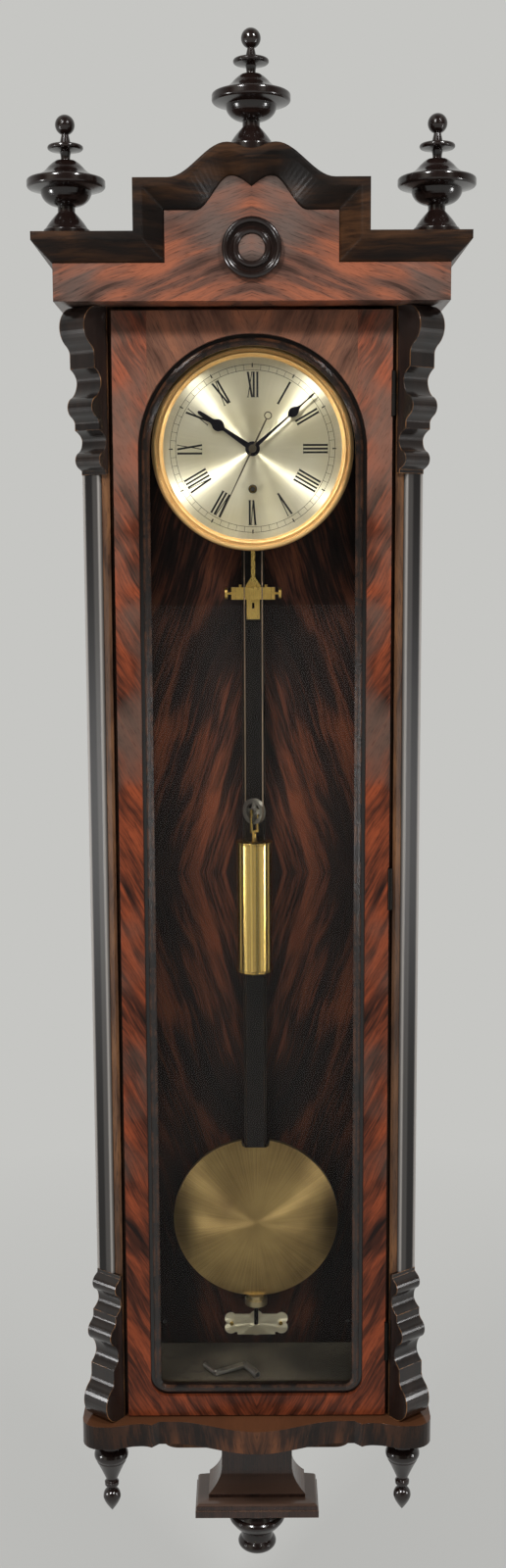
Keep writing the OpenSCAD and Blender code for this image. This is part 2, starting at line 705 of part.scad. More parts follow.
// Each hinge: the case carries the lower knuckle and the pin, the door the upper knuckle
module door_hinge_leaves() color("gold") difference() {
    for (z = hinge_zs) {
        translate([hinge_x, -hinge_f, z + clear / 2]) cylinder(r = knuckle_r, h = hinge_h / 2 - clear / 2);
        slab(door_half, door_half + hinge_leaf_t, door_back + 1, hinge_f, z + clear / 2, z + hinge_h / 2);
    }
    for (z = hinge_zs) translate([hinge_x, -hinge_f, z - 1]) cylinder(r = pin_r + run_fit, h = hinge_h);
}

module case_hinge_leaves() color("gold") for (z = hinge_zs) {
    translate([hinge_x, -hinge_f, z - hinge_h / 2]) {
        cylinder(r = knuckle_r, h = hinge_h / 2 - clear / 2);
        cylinder(r = pin_r, h = hinge_h);
    }
    slab(strip_x - hinge_leaf_t, strip_x, rebate_f + 1, hinge_f, z - hinge_h / 2, z - clear / 2);
    slab(hinge_x, strip_x, hinge_f - hinge_leaf_t, hinge_f, z - hinge_h / 2, z - clear / 2);
}

// ---- Dial ----
module dial() color("silver") {
    difference() {
        disc(0, 0, dial_r + bezel_w * 0.6, dial_f, dial_f + dial_t);
        disc(0, 0, 4.2, dial_f - 1, dial_f + dial_t + 1);
        disc(0, -wind_z, wind_r + 1, dial_f - 1, dial_f + dial_t + 1);
    }
    for (s = [-1, 1], z = [-plate_foot + 12, plate_top - 12])
        disc(s * (plate_w / 2 - 12), z, 3, front_plate_f + plate_t, dial_f);
}

// Stepped brass ring that holds the edge of the dial
module bezel() color("gold") {
    w = bezel_w;
    h = bezel_h;
    f = dial_f + dial_t;
    seat = w * 0.6;
    turned_front(0, 0) polygon(concat(
        [[dial_r, f], [dial_r + seat, f], [dial_r + seat, f - dial_t], [dial_r + w, f - dial_t]],
        bend([dial_r + w, f + h * 0.35], [dial_r + w, f + h * 0.85], [dial_r + w * 0.62, f + h * 0.9], 6),
        [[dial_r + w * 0.56, f + h * 0.74], [dial_r + w * 0.42, f + h * 0.74]],
        arc(dial_r + w * 0.28, f + h - w * 0.13, w * 0.13, 0, 180, 6),
        [[dial_r + w * 0.13, f + h * 0.66], [dial_r + w * 0.04, f + h * 0.5]]
    ));
}

// ---- Movement ----
module movement_bracket() color("darkgray") difference() {
    union() {
        slab(-plate_w / 2 - 10, plate_w / 2 + 10, back_t, back_t + 5, -plate_foot - 18, -plate_foot + 8);
        both_sides() slab(plate_w / 2 - 15, plate_w / 2 - 5, back_t + 5, front_plate_f + plate_t, -plate_foot - 10, -plate_foot);
    }
    screw_holes();
}

module plate_outline() translate([-plate_w / 2, -plate_foot]) square([plate_w, plate_top + plate_foot]);

// Two plates with four pillars, the fixed pipe for the hands and the lug that holds the line
module movement_frame() color("goldenrod") {
    difference() {
        front(back_plate_f, back_plate_f + plate_t) plate_outline();
        pivot_holes(back_plate_f);
        disc(0, -wind_z, pivot_r + run_fit, back_plate_f - 1, back_plate_f + plate_t + 1);
        disc(0, 0, pivot_r + run_fit, back_plate_f - 1, back_plate_f + plate_t + 1);
    }
    difference() {
        union() {
            front(front_plate_f, front_plate_f + plate_t) plate_outline();
            disc(0, 0, 2.1, front_plate_f + plate_t, hour_f + 1);
        }
        pivot_holes(front_plate_f);
        disc(0, -wind_z, wind_r + run_fit, front_plate_f - 1, front_plate_f + plate_t + 1);
        disc(0, 0, pivot_r + run_fit, front_plate_f - 1, hour_f + 2);
    }
    for (s = [-1, 1], z = [-plate_foot + 10, plate_top - 10])
        disc(s * (plate_w / 2 - 9), z, 4, back_plate_f + plate_t, front_plate_f);
    slab(run_dx - 3, run_dx + 3, weight_f + run_df - 2.2, front_plate_f, -wind_z, -wind_z + 6);
}

module pivot_holes(f) for (p = [second_p, third_p, [0, pend_z]])
    disc(p[0], p[1], pivot_r + run_fit, f - 1, f + plate_t + 1);

// Cock on the back plate, with the chops that clamp the suspension spring
module suspension_cock() color("gold") {
    slab(-10, 10, pend_f - 6, back_plate_f, pend_z + 7, pend_z + 17);
    slab(-6.5, 6.5, pend_f - 3, pend_f + 3, pend_z + 0.6, pend_z + 7);
}

// A wheel with crossed-out arms and pointed teeth
module wheel(p, r, teeth, f0, f1, bore = 0) translate([p[0], 0, p[1]]) front(f0, f1) difference() {
    polygon([for (i = [0:2 * teeth - 1]) let (a = 180 * i / teeth, q = i % 2 == 0 ? r : r - 110 * r / teeth / 22)
        q * [cos(a), sin(a)]]);
    difference() {
        circle(r = r * 0.78);
        circle(r = r * 0.26);
        for (i = [0:4]) rotate(72 * i) translate([0, -r * 0.05]) square([r, r * 0.1]);
    }
    if (bore > 0) circle(r = bore);
}

module arbor(p, pinion_r, pinion_f0, pinion_f1) {
    disc(p[0], p[1], pivot_r, back_plate_f, back_plate_f + plate_t + 1);
    disc(p[0], p[1], 1.8, back_plate_f + plate_t + 0.3, front_plate_f - 0.3);
    disc(p[0], p[1], pinion_r, pinion_f0, pinion_f1);
    disc(p[0], p[1], pivot_r, front_plate_f - 1, front_plate_f + plate_t);
}

module winding_drum() color("gold") {
    disc(0, -wind_z, pivot_r, back_plate_f, great_f);
    disc(0, -wind_z, wind_r, back_plate_f + plate_t + 0.3, front_plate_f + plate_t);
    disc(0, -wind_z, drum_r, drum_f, drum_f + drum_l);
    for (f = [drum_f, drum_f + drum_l - 1.5]) disc(0, -wind_z, drum_r + 4.5, f, f + 1.5);
    side = wind_r * 1.6;
    slab(-side / 2, side / 2, front_plate_f + plate_t, dial_f + dial_t + 4, -wind_z - side / 2, -wind_z + side / 2);
}

module great_wheel() color("gold") wheel([0, -wind_z], great_r, 72, great_f, great_f + 2.5, wind_r + run_fit);

module second_wheel() color("gold") {
    wheel(second_p, second_r, 60, second_f, second_f + 2);
    arbor(second_p, second_pinion_r, great_f - 0.5, great_f + 5);
}

module third_wheel() color("gold") {
    wheel(third_p, third_r, 60, third_f, third_f + 1.5);
    arbor(third_p, third_pinion_r, second_f - 1.5, second_f + 4);
}

// The escape wheel turns once a minute, and its arbor carries the seconds hand
module escape_wheel() color("gold") {
    wheel([0, 0], escape_r, 30, escape_f, escape_f + 2);
    arbor([0, 0], escape_pinion_r, third_f - 1.5, third_f + 4);
    disc(0, 0, pivot_r, front_plate_f, seconds_f);
}

// ---- Hands ----
// A hand pointing to twelve: pairs of radius and half width, spread about the centre line
module blade(widths) polygon(concat(
    [for (p = widths) [p[1], p[0]]], [for (i = [len(widths) - 1:-1:0]) [-widths[i][1], widths[i][0]]]
));

module hour_hand() color("black") difference() {
    union() {
        rotate([0, hour_a, 0]) front(hour_f, hour_f + 1) {
            k = hour_l / 76.3;
            blade([for (p = [[0, 3.4], [10, 3.2], [40, 2], [42, 3.6], [44.5, 6], [48, 7], [51.5, 6.3], [54.5, 4],
                [57, 3], [66, 2.7], [74, 2.1], [76.3, 0.9]]) [p[0] * k, p[1]]]);
            circle(r = 8.5);
        }
        disc(0, 0, 3.9, front_plate_f + plate_t + 0.4, hour_f + 1);
    }
    disc(0, 0, 3.05, front_plate_f, hour_f + 2);
}

module minute_hand() color("black") difference() {
    union() {
        rotate([0, minute_a, 0]) front(minute_f, minute_f + 1) {
            k = minute_l / 96.1;
            blade([for (p = [[0, 2.6], [8, 2.4], [30, 1.5], [55, 0.9], [57.5, 3.2], [60.5, 5.1], [63.5, 5.6],
                [67, 4.4], [70.5, 2], [74, 1], [84, 0.8], [89, 1.5], [92, 1.2], [96.1, 0.3]]) [p[0] * k, p[1]]]);
            circle(r = 7);
        }
        disc(0, 0, 3, front_plate_f + plate_t + 0.4, minute_f + 1);
    }
    disc(0, 0, 2.1 + run_fit, front_plate_f, minute_f + 2);
}

module seconds_hand() color("dimgray") difference() {
    union() {
        rotate([0, seconds_a, 0]) front(seconds_f, seconds_f + 0.8) {
            blade([[0, 1.1], [seconds_l * 0.5, 0.7], [seconds_l, 0.35]]);
            rotate(180) blade([[0, 1.1], [tail_l - 3.8, 0.9]]);
            translate([0, -tail_l]) difference() {
                circle(r = 4.6);
                circle(r = 3.3);
            }
        }
        disc(0, 0, 4.6, minute_f + 1.5, seconds_f + 0.8);
    }
    disc(0, 0, pivot_r + run_fit / 2, minute_f, seconds_f);
}

// ---- Pendulum and crutch ----
module suspension_spring() color("lightsteelblue") {
    slab(-5, 5, pend_f - 0.25, pend_f + 0.25, spring_foot, pend_z);
    slab(-7, 7, pend_f - 3, pend_f + 3, spring_foot - 3, spring_foot + 4);
}

module pendulum_rod() color("black") difference() {
    union() {
        slab(-rod_w / 2, rod_w / 2, pend_f - rod_t / 2, rod_front, rod_foot, spring_foot - 3);
        translate([0, -pend_f, rod_foot - screw_l]) cylinder(r = screw_r, h = screw_l);
    }
    // chamfered front edges
    for (s = [-1, 1]) translate([s * rod_w / 2, -rod_front, (rod_foot + spring_foot) / 2])
        rotate([0, 0, 45]) cube([4, 4, 2000], center = true);
    // slot for the crutch pin
    slab(-2.1, 2.1, pend_f - rod_t, rod_front + 1, adjust_z - adjust_h / 2 - 20, adjust_z - adjust_h / 2 - 8);
}

// Lens-shaped bob: two shallow domes with a rim, notched at the top, with a channel for the rod
module bob() color("goldenrod") difference() {
    r = bob_d / 2;
    rim = 7;
    sag = bob_t / 2 - rim / 2;
    dome = (r * r + sag * sag) / (2 * sag);
    intersection() {
        disc(0, bob_z, r, pend_f - bob_t / 2, pend_f + bob_t / 2);
        translate([0, -pend_f - dome + bob_t / 2, bob_z]) sphere(r = dome, $fn = 200);
        translate([0, -pend_f + dome - bob_t / 2, bob_z]) sphere(r = dome, $fn = 200);
    }
    slab(-rod_w / 2 - clear, rod_w / 2 + clear, pend_f - rod_t / 2 - clear, rod_front + clear,
        rod_foot - clear, bob_z + bob_d);
    translate([0, -pend_f, bob_z - bob_d]) cylinder(r = screw_r + clear, h = bob_d);
    front(pend_f - bob_t, pend_f + bob_t) translate([0, bob_z + r]) {
        translate([-rod_w / 2 - 4, -4.5]) square([rod_w + 8, 30]);
        for (s = [-1, 1]) translate([s * (rod_w / 2 - 1), -5]) circle(r = 4.5);
        translate([-rod_w / 2 + 1, -10]) square([rod_w - 2, 10]);
    }
}

module rating_nut() color("gold") difference() {
    translate([0, -pend_f, nut_top - nut_h]) {
        cylinder(r = nut_d / 2, h = nut_h * 0.6);
        translate([0, 0, nut_h * 0.6]) cylinder(r = nut_d / 2 - 4, h = nut_h * 0.4);
    }
    translate([0, -pend_f, nut_top - nut_h - 1]) cylinder(r = screw_r + run_fit, h = nut_h + 2);
}

module crutch() color("gold") {
    // arbor, with the anchor between the plates
    disc(0, pend_z, pivot_r, crutch_f, front_plate_f + plate_t);
    disc(0, pend_z, 1.8, back_plate_f + plate_t + 0.3, front_plate_f - 0.3);
    front(escape_f - 1, escape_f + 3) {
        nib = escape_r + 1.8;
        a = acos(escape_r / pend_z);
        tip = nib * [sin(a), cos(a)];
        for (s = [-1, 1]) polygon([
            [0, pend_z + 3], [s * (tip[0] + 5), tip[1] + 5], [s * (tip[0] + 3), tip[1] + 1],
            [s * tip[0], tip[1]], [s * (tip[0] - 1), tip[1] + 3.5], [0, pend_z - 3]
        ]);
        translate([0, pend_z]) circle(r = 4);
    }
    // rod, collar and the flare over the adjuster
    disc(0, pend_z, 5, crutch_f, crutch_f + crutch_t);
    front(crutch_f, crutch_f + crutch_t) translate([0, adjust_z + adjust_h / 2]) {
        translate([-9, 0]) square([18, 1.5]);
        polygon([[-9, 1.5], [-2.45, 12], [-2.45, pend_z - adjust_z - adjust_h / 2],
            [2.45, pend_z - adjust_z - adjust_h / 2], [2.45, 12], [9, 1.5]]);
    }
}

module beat_adjuster() color("gold") {
    w = adjust_w / 2;
    top = adjust_z + adjust_h / 2;
    foot = adjust_z - adjust_h / 2;
    // block in three parts, with fine seams near its ends
    slab(-w + 5, w - 5, adjust_f, adjust_f + adjust_t, foot, top);
    for (s = [-1, 1]) sided(s) {
        slab(w - 4.6, w, adjust_f, adjust_f + adjust_t - 0.5, foot, top);
        translate([w - 6, -adjust_f - adjust_t / 2, adjust_z]) rotate([0, 90, 0]) cylinder(r = 1.5, h = 13);
        translate([w + 4.5, -adjust_f - adjust_t / 2, adjust_z]) rotate([0, 90, 0]) cylinder(r = adjust_h / 2 - 0.6, h = 3.2);
        translate([15.5, -adjust_f - adjust_t / 2, top - 1]) cylinder(r = 1.9, h = 4);
    }
    // lower plate with its slot, and the pin that moves the rod
    difference() {
        slab(-7.9, 7.9, adjust_f + 2, adjust_f + 4.5, foot - 24, foot);
        slab(-1.4, 1.4, adjust_f + 1, adjust_f + 6, foot - 11, foot - 4);
    }
    disc(0, foot - 14, 1.8, pend_f - 2, adjust_f + 2);
}

// ---- Weight and line ----
module at_pulley() translate([0, -weight_f, -pulley_z]) rotate([0, 0, -pulley_a]) children();

module weight() color("goldenrod") {
    r = weight_r;
    cap = r + 1.1;
    turned_up(0, weight_f) polygon(concat(
        [[0, weight_top - weight_h], [r - 1, weight_top - weight_h]],
        arc(r - 0.4, weight_top - weight_h + 2.5, 1.5, -90, 90, 6),
        [[r, weight_top - weight_h + 4.2], [r, weight_top - 5]],
        arc(r - 0.4, weight_top - 3.2, 1.5, -90, 90, 6),
        [[r - 3, weight_top - 0.8], [r - 5, weight_top], [3.2, weight_top]],
        bend([3.2, weight_top], [2.2, weight_top + 5], [3.4, weight_top + 9], 4),
        [[0, weight_top + 9]]
    ));
    // strap over the pulley's axle
    at_pulley() {
        z = weight_top + pulley_z + 9;
        slab(-2.2, 2.2, -6, 6, z - 1, z + 2.4);
        for (s = [-1, 1]) translate([0, s * 5.2, 0]) slab(-1.4, 1.4, -0.8, 0.8, z, 3);
        disc(0, 0, 1.1, -6, 6);
    }
}

module pulley() color("dimgray") at_pulley() difference() {
    rotate([90, 0, 0]) rotate_extrude() {
        groove = line_bend_r - line_d / 2 - clear;
        polygon([[10.4, -2.4], [pulley_r, -3.2], [pulley_r, -2.6], [groove, -1], [groove, 1],
            [pulley_r, 2.6], [pulley_r, 3.2], [10.4, 2.4]]);
        translate([0, -3]) square([4, 6]);
        translate([3, -1.2]) square([8.5, 2.4]);
    }
    for (a = [0:90:270]) rotate([0, a + 45, 0]) front(-5, 5) polygon([[5.6, 2], [9.8, 6], [11, 0], [9.8, -6], [5.6, -2]]);
    disc(0, 0, 1.1 + run_fit, -5, 5);
}

module gut_line() color("khaki") for (s = [-1, 1])
    translate([s * run_dx, -weight_f - s * run_df, -pulley_z]) cylinder(r = line_d / 2, h = pulley_z - wind_z, $fn = 24);

module gut_bight() color("khaki") at_pulley() rotate([90, 0, 0]) rotate([0, 0, 180]) rotate_extrude(angle = 180)
    translate([line_bend_r, 0]) circle(r = line_d / 2, $fn = 24);

// ---- Furniture ----
module beat_plate() color("silver") difference() {
    front(back_t, back_t + beat_t) translate([0, beat_z]) {
        w = beat_w / 2;
        h = beat_h / 2;
        square([2 * w - 12, 2 * h - 9], center = true);
        for (s = [-1, 1], t = [-1, 1]) translate([s * (w - 8), t * (h - 10.5)]) circle(r = 8);
        for (t = [-1, 1]) translate([0, t * (h - 9)]) circle(r = 9);
        translate([0, -h / 2]) square([w * 1.2, h - 2.2], center = true);
    }
    screw_holes();
}

module case_screws() color("goldenrod") for (s = SCREWS) {
    disc(s[0], s[1], s[3], s[2], s[2] + 1.6);
    disc(s[0], s[1], screw_shaft_r, s[2] - screw_l_in, s[2] + 0.5);
}
module screw_holes() for (s = SCREWS) disc(s[0], s[1], screw_shaft_r + 0.15, s[2] - screw_l_in - 0.3, s[2] + 4);

// Laid on the floor: a thin handle, a steel arm and a brass socket with a square hole
module winding_crank() color("silver") {
    lift = floor_z + clear;
    socket = [-14, 81];
    hand = socket + crank_l * [-cos(29), sin(29)];
    translate([socket[0], -socket[1], lift + 4.4]) rotate([90, 0, 29]) difference() {
        cylinder(r = 4.4, h = 31);
        translate([-2.6, -2.6, 12]) cube([5.2, 5.2, 30]);
    }
    plan(lift + 2.4, lift + 6.4) polygon([
        socket + [3, 3.2], socket + [-1.5, -4.2], hand + [-3, -2], hand + [1, 4]
    ]);
    translate([hand[0], -hand[1], lift + 4.4]) rotate([-90, 0, 34]) cylinder(r = 2.8, h = 25);
}

module hung() translate([0, 0, -hang_drop]) children();

hung() backboard();
hung() hanger_plate();
hung() corner_post(-1);  // corner_post_left
hung() corner_post(1);  // corner_post_right
hung() pilaster_strips();
hung() side_frames();
hung() side_glasses();
hung() floor_board();
hung() header_boards();
hung() frieze_board();
hung() cornice_front();
hung() cornice_returns();
hung() roundel();
hung() finial_centre();
hung() finial_left();
hung() finial_right();
hung() upper_bracket(-1);  // upper_bracket_left
hung() upper_bracket(1);  // upper_bracket_right
hung() lower_bracket(-1);  // lower_bracket_left
hung() lower_bracket(1);  // lower_bracket_right
hung() base_plate();
hung() base_underboard();
hung() drop_finials();
hung() pendant_block();
hung() pendant_boss();
hung() door_stile_left();
hung() door_stile_right();
hung() door_top_rail();
hung() door_bottom_rail();
hung() door_moulding();
hung() door_glass();
hung() door_hinge_leaves();
hung() case_hinge_leaves();
hung() movement_bracket();
hung() movement_frame();
hung() suspension_cock();
hung() dial();
hung() bezel();
hung() winding_drum();
hung() great_wheel();
hung() second_wheel();
hung() third_wheel();
hung() escape_wheel();
hung() hour_hand();
hung() minute_hand();
hung() seconds_hand();
hung() suspension_spring();
hung() pendulum_rod();
hung() bob();
hung() rating_nut();
hung() crutch();
hung() beat_adjuster();
hung() weight();
hung() pulley();
hung() gut_line();
hung() gut_bight();
hung() beat_plate();
hung() winding_crank();
hung() case_screws();
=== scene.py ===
# %% [markdown]
# # Dressing a wall regulator clock
#
# A regulator is a precise pendulum clock. This one hangs on a wall in a glazed walnut case: a
# seconds pendulum swings behind the glass, one brass weight drives the train, and three hands turn
# from the middle of a silvered dial. The CAD model already holds every solid at its real size, so
# this script only gives each piece its finish, adds what is too thin for a solid, and sets up the
# photograph. Lengths are in metres. X runs to the right, Z up, and the clock stands out from the
# wall along -Y.

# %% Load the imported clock
import json
import math

import bpy
from mathutils import Matrix, Vector


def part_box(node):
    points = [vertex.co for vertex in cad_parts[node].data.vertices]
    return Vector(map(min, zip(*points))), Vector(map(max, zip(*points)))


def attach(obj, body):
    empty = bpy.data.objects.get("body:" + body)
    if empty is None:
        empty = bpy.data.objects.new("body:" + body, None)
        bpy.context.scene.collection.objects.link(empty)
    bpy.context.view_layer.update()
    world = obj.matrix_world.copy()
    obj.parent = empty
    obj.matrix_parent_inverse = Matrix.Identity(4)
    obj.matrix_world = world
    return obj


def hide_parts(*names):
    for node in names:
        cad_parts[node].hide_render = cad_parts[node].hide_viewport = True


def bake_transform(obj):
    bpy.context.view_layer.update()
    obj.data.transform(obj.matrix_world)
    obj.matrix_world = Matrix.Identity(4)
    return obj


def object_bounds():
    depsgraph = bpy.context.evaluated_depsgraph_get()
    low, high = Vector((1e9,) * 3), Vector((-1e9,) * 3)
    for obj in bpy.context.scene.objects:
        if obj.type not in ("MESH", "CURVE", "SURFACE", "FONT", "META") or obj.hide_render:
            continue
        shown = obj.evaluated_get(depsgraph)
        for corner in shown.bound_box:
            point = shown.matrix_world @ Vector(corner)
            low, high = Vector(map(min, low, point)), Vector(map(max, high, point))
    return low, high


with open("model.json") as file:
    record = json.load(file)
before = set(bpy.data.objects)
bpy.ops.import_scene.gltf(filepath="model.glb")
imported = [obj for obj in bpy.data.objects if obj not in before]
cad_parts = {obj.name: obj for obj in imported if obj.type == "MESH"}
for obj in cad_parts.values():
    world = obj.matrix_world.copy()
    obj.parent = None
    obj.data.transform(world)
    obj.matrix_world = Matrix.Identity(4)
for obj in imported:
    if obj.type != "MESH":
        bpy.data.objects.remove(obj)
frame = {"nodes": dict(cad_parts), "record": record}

cad_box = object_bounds()
nodes = frame["nodes"]
print(len(nodes), "pieces,", "box", [round(v, 4) for corner in cad_box for v in corner])

# %% [markdown]
# ## Where everything is measured from
#
# The bezel is a ring round the dial, so the middle of its box is the middle of the dial. Numerals
# and brushed rings are all placed from that point.

# %% Middle of the dial
MM = 0.001


def box_middle(box):
    low, high = box
    return (low.x + high.x) / 2, (low.z + high.z) / 2


DIAL_X, DIAL_Z = box_middle(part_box("bezel"))
DIAL_FACE_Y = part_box("dial")[0].y
print("dial centre", round(DIAL_X, 5), round(DIAL_Z, 5), "face at y", round(DIAL_FACE_Y, 5))

# %% [markdown]
# ## The camera
#
# The photograph was taken a little above the middle of the clock, about two metres away, tilted
# down so that the uprights draw together towards the foot. The place and tilt were fitted to the
# corners of the case. Its focal length is 1700 pixels in a picture 1600 pixels tall, which turns
# into a lens for a sensor 36 mm tall.

# %% Camera of the photograph
PHOTO_TALL = 1600
FOCAL_PIXELS = 1700
CAMERA_PLACE = Vector((-0.0012, -2.0769, -0.2921))
PITCH_DOWN, ROLL = math.radians(8.415), math.radians(-0.25)

camera_data = bpy.data.cameras.new("photo_camera")
camera_data.sensor_fit = "VERTICAL"
camera_data.sensor_height = 36
camera_data.lens = FOCAL_PIXELS * camera_data.sensor_height / PHOTO_TALL
camera = bpy.data.objects.new("photo_camera", camera_data)
bpy.context.scene.collection.objects.link(camera)
camera.matrix_world = (
    Matrix.Translation(CAMERA_PLACE)
    @ Matrix.Rotation(math.pi / 2 - PITCH_DOWN, 4, "X")
    @ Matrix.Rotation(ROLL, 4, "Z")
)
bpy.context.scene.camera = camera
bpy.context.scene.view_settings.view_transform = "Standard"
print("lens", round(camera_data.lens, 2), "mm")

# %% [markdown]
# ## Small helpers for shader nodes
#
# A procedural finish is a chain of nodes. Writing each link by hand hides the idea, so `node` makes
# one node and fills its sockets, with a number or with another node's output. The rest are short
# names for the nodes that come up again and again: arithmetic, a vector put together from three
# numbers, and a range of values laid onto another range.

# %% Node helpers
def node(tree, kind, values=None, **settings):
    made = tree.nodes.new(kind)
    for key, value in settings.items():
        setattr(made, key, value)
    for key, value in (values or {}).items():
        if isinstance(value, bpy.types.NodeSocket):
            tree.links.new(value, made.inputs[key])
        else:
            made.inputs[key].default_value = value
    return made


def calc(tree, operation, a, b=0.0, clamp=False):
    settings = {"operation": operation, "use_clamp": clamp}
    return node(tree, "ShaderNodeMath", {0: a, 1: b}, **settings).outputs[0]


def add(tree, a, b):
    return calc(tree, "ADD", a, b)


def less(tree, a, b):
    return calc(tree, "SUBTRACT", a, b)


def times(tree, a, b, clamp=False):
    return calc(tree, "MULTIPLY", a, b, clamp)


def combine(tree, x, y, z):
    return node(tree, "ShaderNodeCombineXYZ", {0: x, 1: y, 2: z}).outputs[0]


def remap(tree, value, from_low, from_high, to_low, to_high):
    return node(tree, "ShaderNodeMapRange", {
        "Value": value, "From Min": from_low, "From Max": from_high,
        "To Min": to_low, "To Max": to_high}).outputs[0]


print("node helpers ready")

# %% [markdown]
# ## Colours
#
# Paint charts give colours as three numbers up to 255, bent to suit a screen. Blender works in
# linear light, so `tone` straightens them. `ramp` turns a value into a colour by stops, and
# `blend_colours` mixes two colours, or multiplies them, which is how a shade lies over a finish.

# %% Colour helpers
def tone(r, g, b):
    def linear(v):
        v /= 255
        return v / 12.92 if v <= 0.04045 else ((v + 0.055) / 1.055) ** 2.4

    return (linear(r), linear(g), linear(b), 1.0)


def grey(v):
    return (v, v, v, 1.0)


def ramp(tree, factor, *stops):
    made = node(tree, "ShaderNodeValToRGB", {"Fac": factor})
    row = made.color_ramp.elements
    while len(row) < len(stops):
        row.new(0.5)
    for step, (place, colour) in zip(row, stops):
        step.position, step.color = place, colour
    return made.outputs["Color"]


def blend_colours(tree, factor, a, b, how="MIX"):
    made = node(tree, "ShaderNodeMix", data_type="RGBA", blend_type=how)
    for place, value in ((0, factor), (6, a), (7, b)):
        if isinstance(value, bpy.types.NodeSocket):
            tree.links.new(value, made.inputs[place])
        else:
            made.inputs[place].default_value = value
    return made.outputs[2]


def shaded(tree, colour, level):
    """The colour, darkened where the level is below 1."""
    shade = node(tree, "ShaderNodeCombineColor", {0: level, 1: level, 2: level}).outputs[0]
    return blend_colours(tree, 1.0, colour, shade, "MULTIPLY")


print("colour helpers ready")

# %% [markdown]
# ## A finish to start from
#
# Every finish here is one Principled shader. Real edges are never knife sharp: a cabinet maker
# breaks them with sandpaper, and the thin line of light along each arris is what makes wood look
# solid. The Bevel node rounds the shading at edges without touching the mesh, so it feeds the
# normal of every finish, with the grain's own bump on top.

# %% A new finish and its surface
def new_finish(name):
    finish = bpy.data.materials.new(name)
    finish.use_nodes = True
    tree = finish.node_tree
    tree.nodes.clear()
    shader = node(tree, "ShaderNodeBsdfPrincipled")
    output = node(tree, "ShaderNodeOutputMaterial", {"Surface": shader.outputs[0]})
    output.name = "finish_output"
    return finish, tree, shader


def soften(tree, shader, height, strength, depth, arris):
    edge = node(tree, "ShaderNodeBevel", {"Radius": arris}, samples=4)
    bump = node(tree, "ShaderNodeBump", {
        "Strength": strength, "Distance": depth, "Height": height, "Normal": edge.outputs[0]})
    tree.links.new(bump.outputs[0], shader.inputs["Normal"])


def case_vector(tree):
    """The place on the clock. It stays with a piece that moves, so its pattern doesn't slide."""
    return node(tree, "ShaderNodeTexCoord").outputs["Object"]


def place_in_case(tree):
    return node(tree, "ShaderNodeSeparateXYZ", {0: case_vector(tree)}).outputs


def noise(tree, vector, scale=1.0, detail=3.0, rough=0.55, twist=0.0):
    return node(tree, "ShaderNodeTexNoise", {
        "Vector": vector, "Scale": scale, "Detail": detail, "Roughness": rough,
        "Distortion": twist}).outputs["Fac"]


print("finish helpers ready")

# %% [markdown]
# ## Book-matched veneer
#
# Veneer is wood sliced thinner than a millimetre. Two slices that lay on each other are opened like
# the pages of a book, so the figure on the right mirrors that on the left. Taking the distance from
# the centre line in place of X gives exactly that mirror. The backboard is matched four ways: below
# a level joint two more slices mirror the upper pair, which is the distance from that joint in
# place of Z. The figure itself leans, so the coordinates are turned to run along and across it, and
# swayed a little, because no tree grows straight.

# %% Along and across the grain
SWAY_SCALE = 7.0


def along_grain(tree, lean, matched=True, sway=0.012, quarter=None):
    x, y, z = place_in_case(tree)
    if matched:
        x = calc(tree, "ABSOLUTE", x)
    if quarter is not None:
        z = calc(tree, "ABSOLUTE", less(tree, z, quarter))
    raw = combine(tree, x, y, z)
    drift = times(tree, less(tree, noise(tree, raw, SWAY_SCALE, 2.0), 0.5), sway * 2)
    c, s = math.cos(math.radians(lean)), math.sin(math.radians(lean))
    along = add(tree, times(tree, x, c), times(tree, z, s))
    across = less(tree, times(tree, x, s), times(tree, z, c))
    return add(tree, across, drift), y, along, raw


def streaks(tree, grain, wide, long, detail=2.0, twist=0.0, seed=0.0):
    """Noise drawn out along the grain. Another seed is another part of the log."""
    across, y, along, _ = grain
    vector = combine(
        tree, times(tree, across, 1 / wide), add(tree, times(tree, y, 1 / long), seed),
        times(tree, along, 1 / long))
    return noise(tree, vector, 1.0, detail, 0.6, twist)


print("grain ready")

# %% [markdown]
# ## Figure and polish of the veneer
#
# Four layers of noise make the figure, each narrow across the grain and long along it: broad
# clouds, the flames, fine streaks, and the short dark pores. `weights` says how much each of the
# first three counts, and `span` where their sum turns from dark to light. Over the figure lies a
# painted reflection: a purplish sheen of the light above, mixed into the colour, patchy, and on the
# stiles stronger towards the top. A picture of veneer would be quicker, but it shows the same board
# each time, and noise in the clock's own coordinates runs on from piece to piece. Two painted
# shades
# are left to choose: one darker towards the foot, where less light falls, and one darker away from
# the middle of a wide board.

# %% Veneer finish
LINE_SIZE, PORE_SIZE = (0.0022, 0.05), (0.0007, 0.012)
SHEEN_SCALE, SHEEN_START, SHEEN_FULL = 9.0, 0.45, 0.64
SHEEN_MIDDLE_Z = -0.5
GRAIN_STRENGTH, GRAIN_DEPTH = 0.08, 0.00006


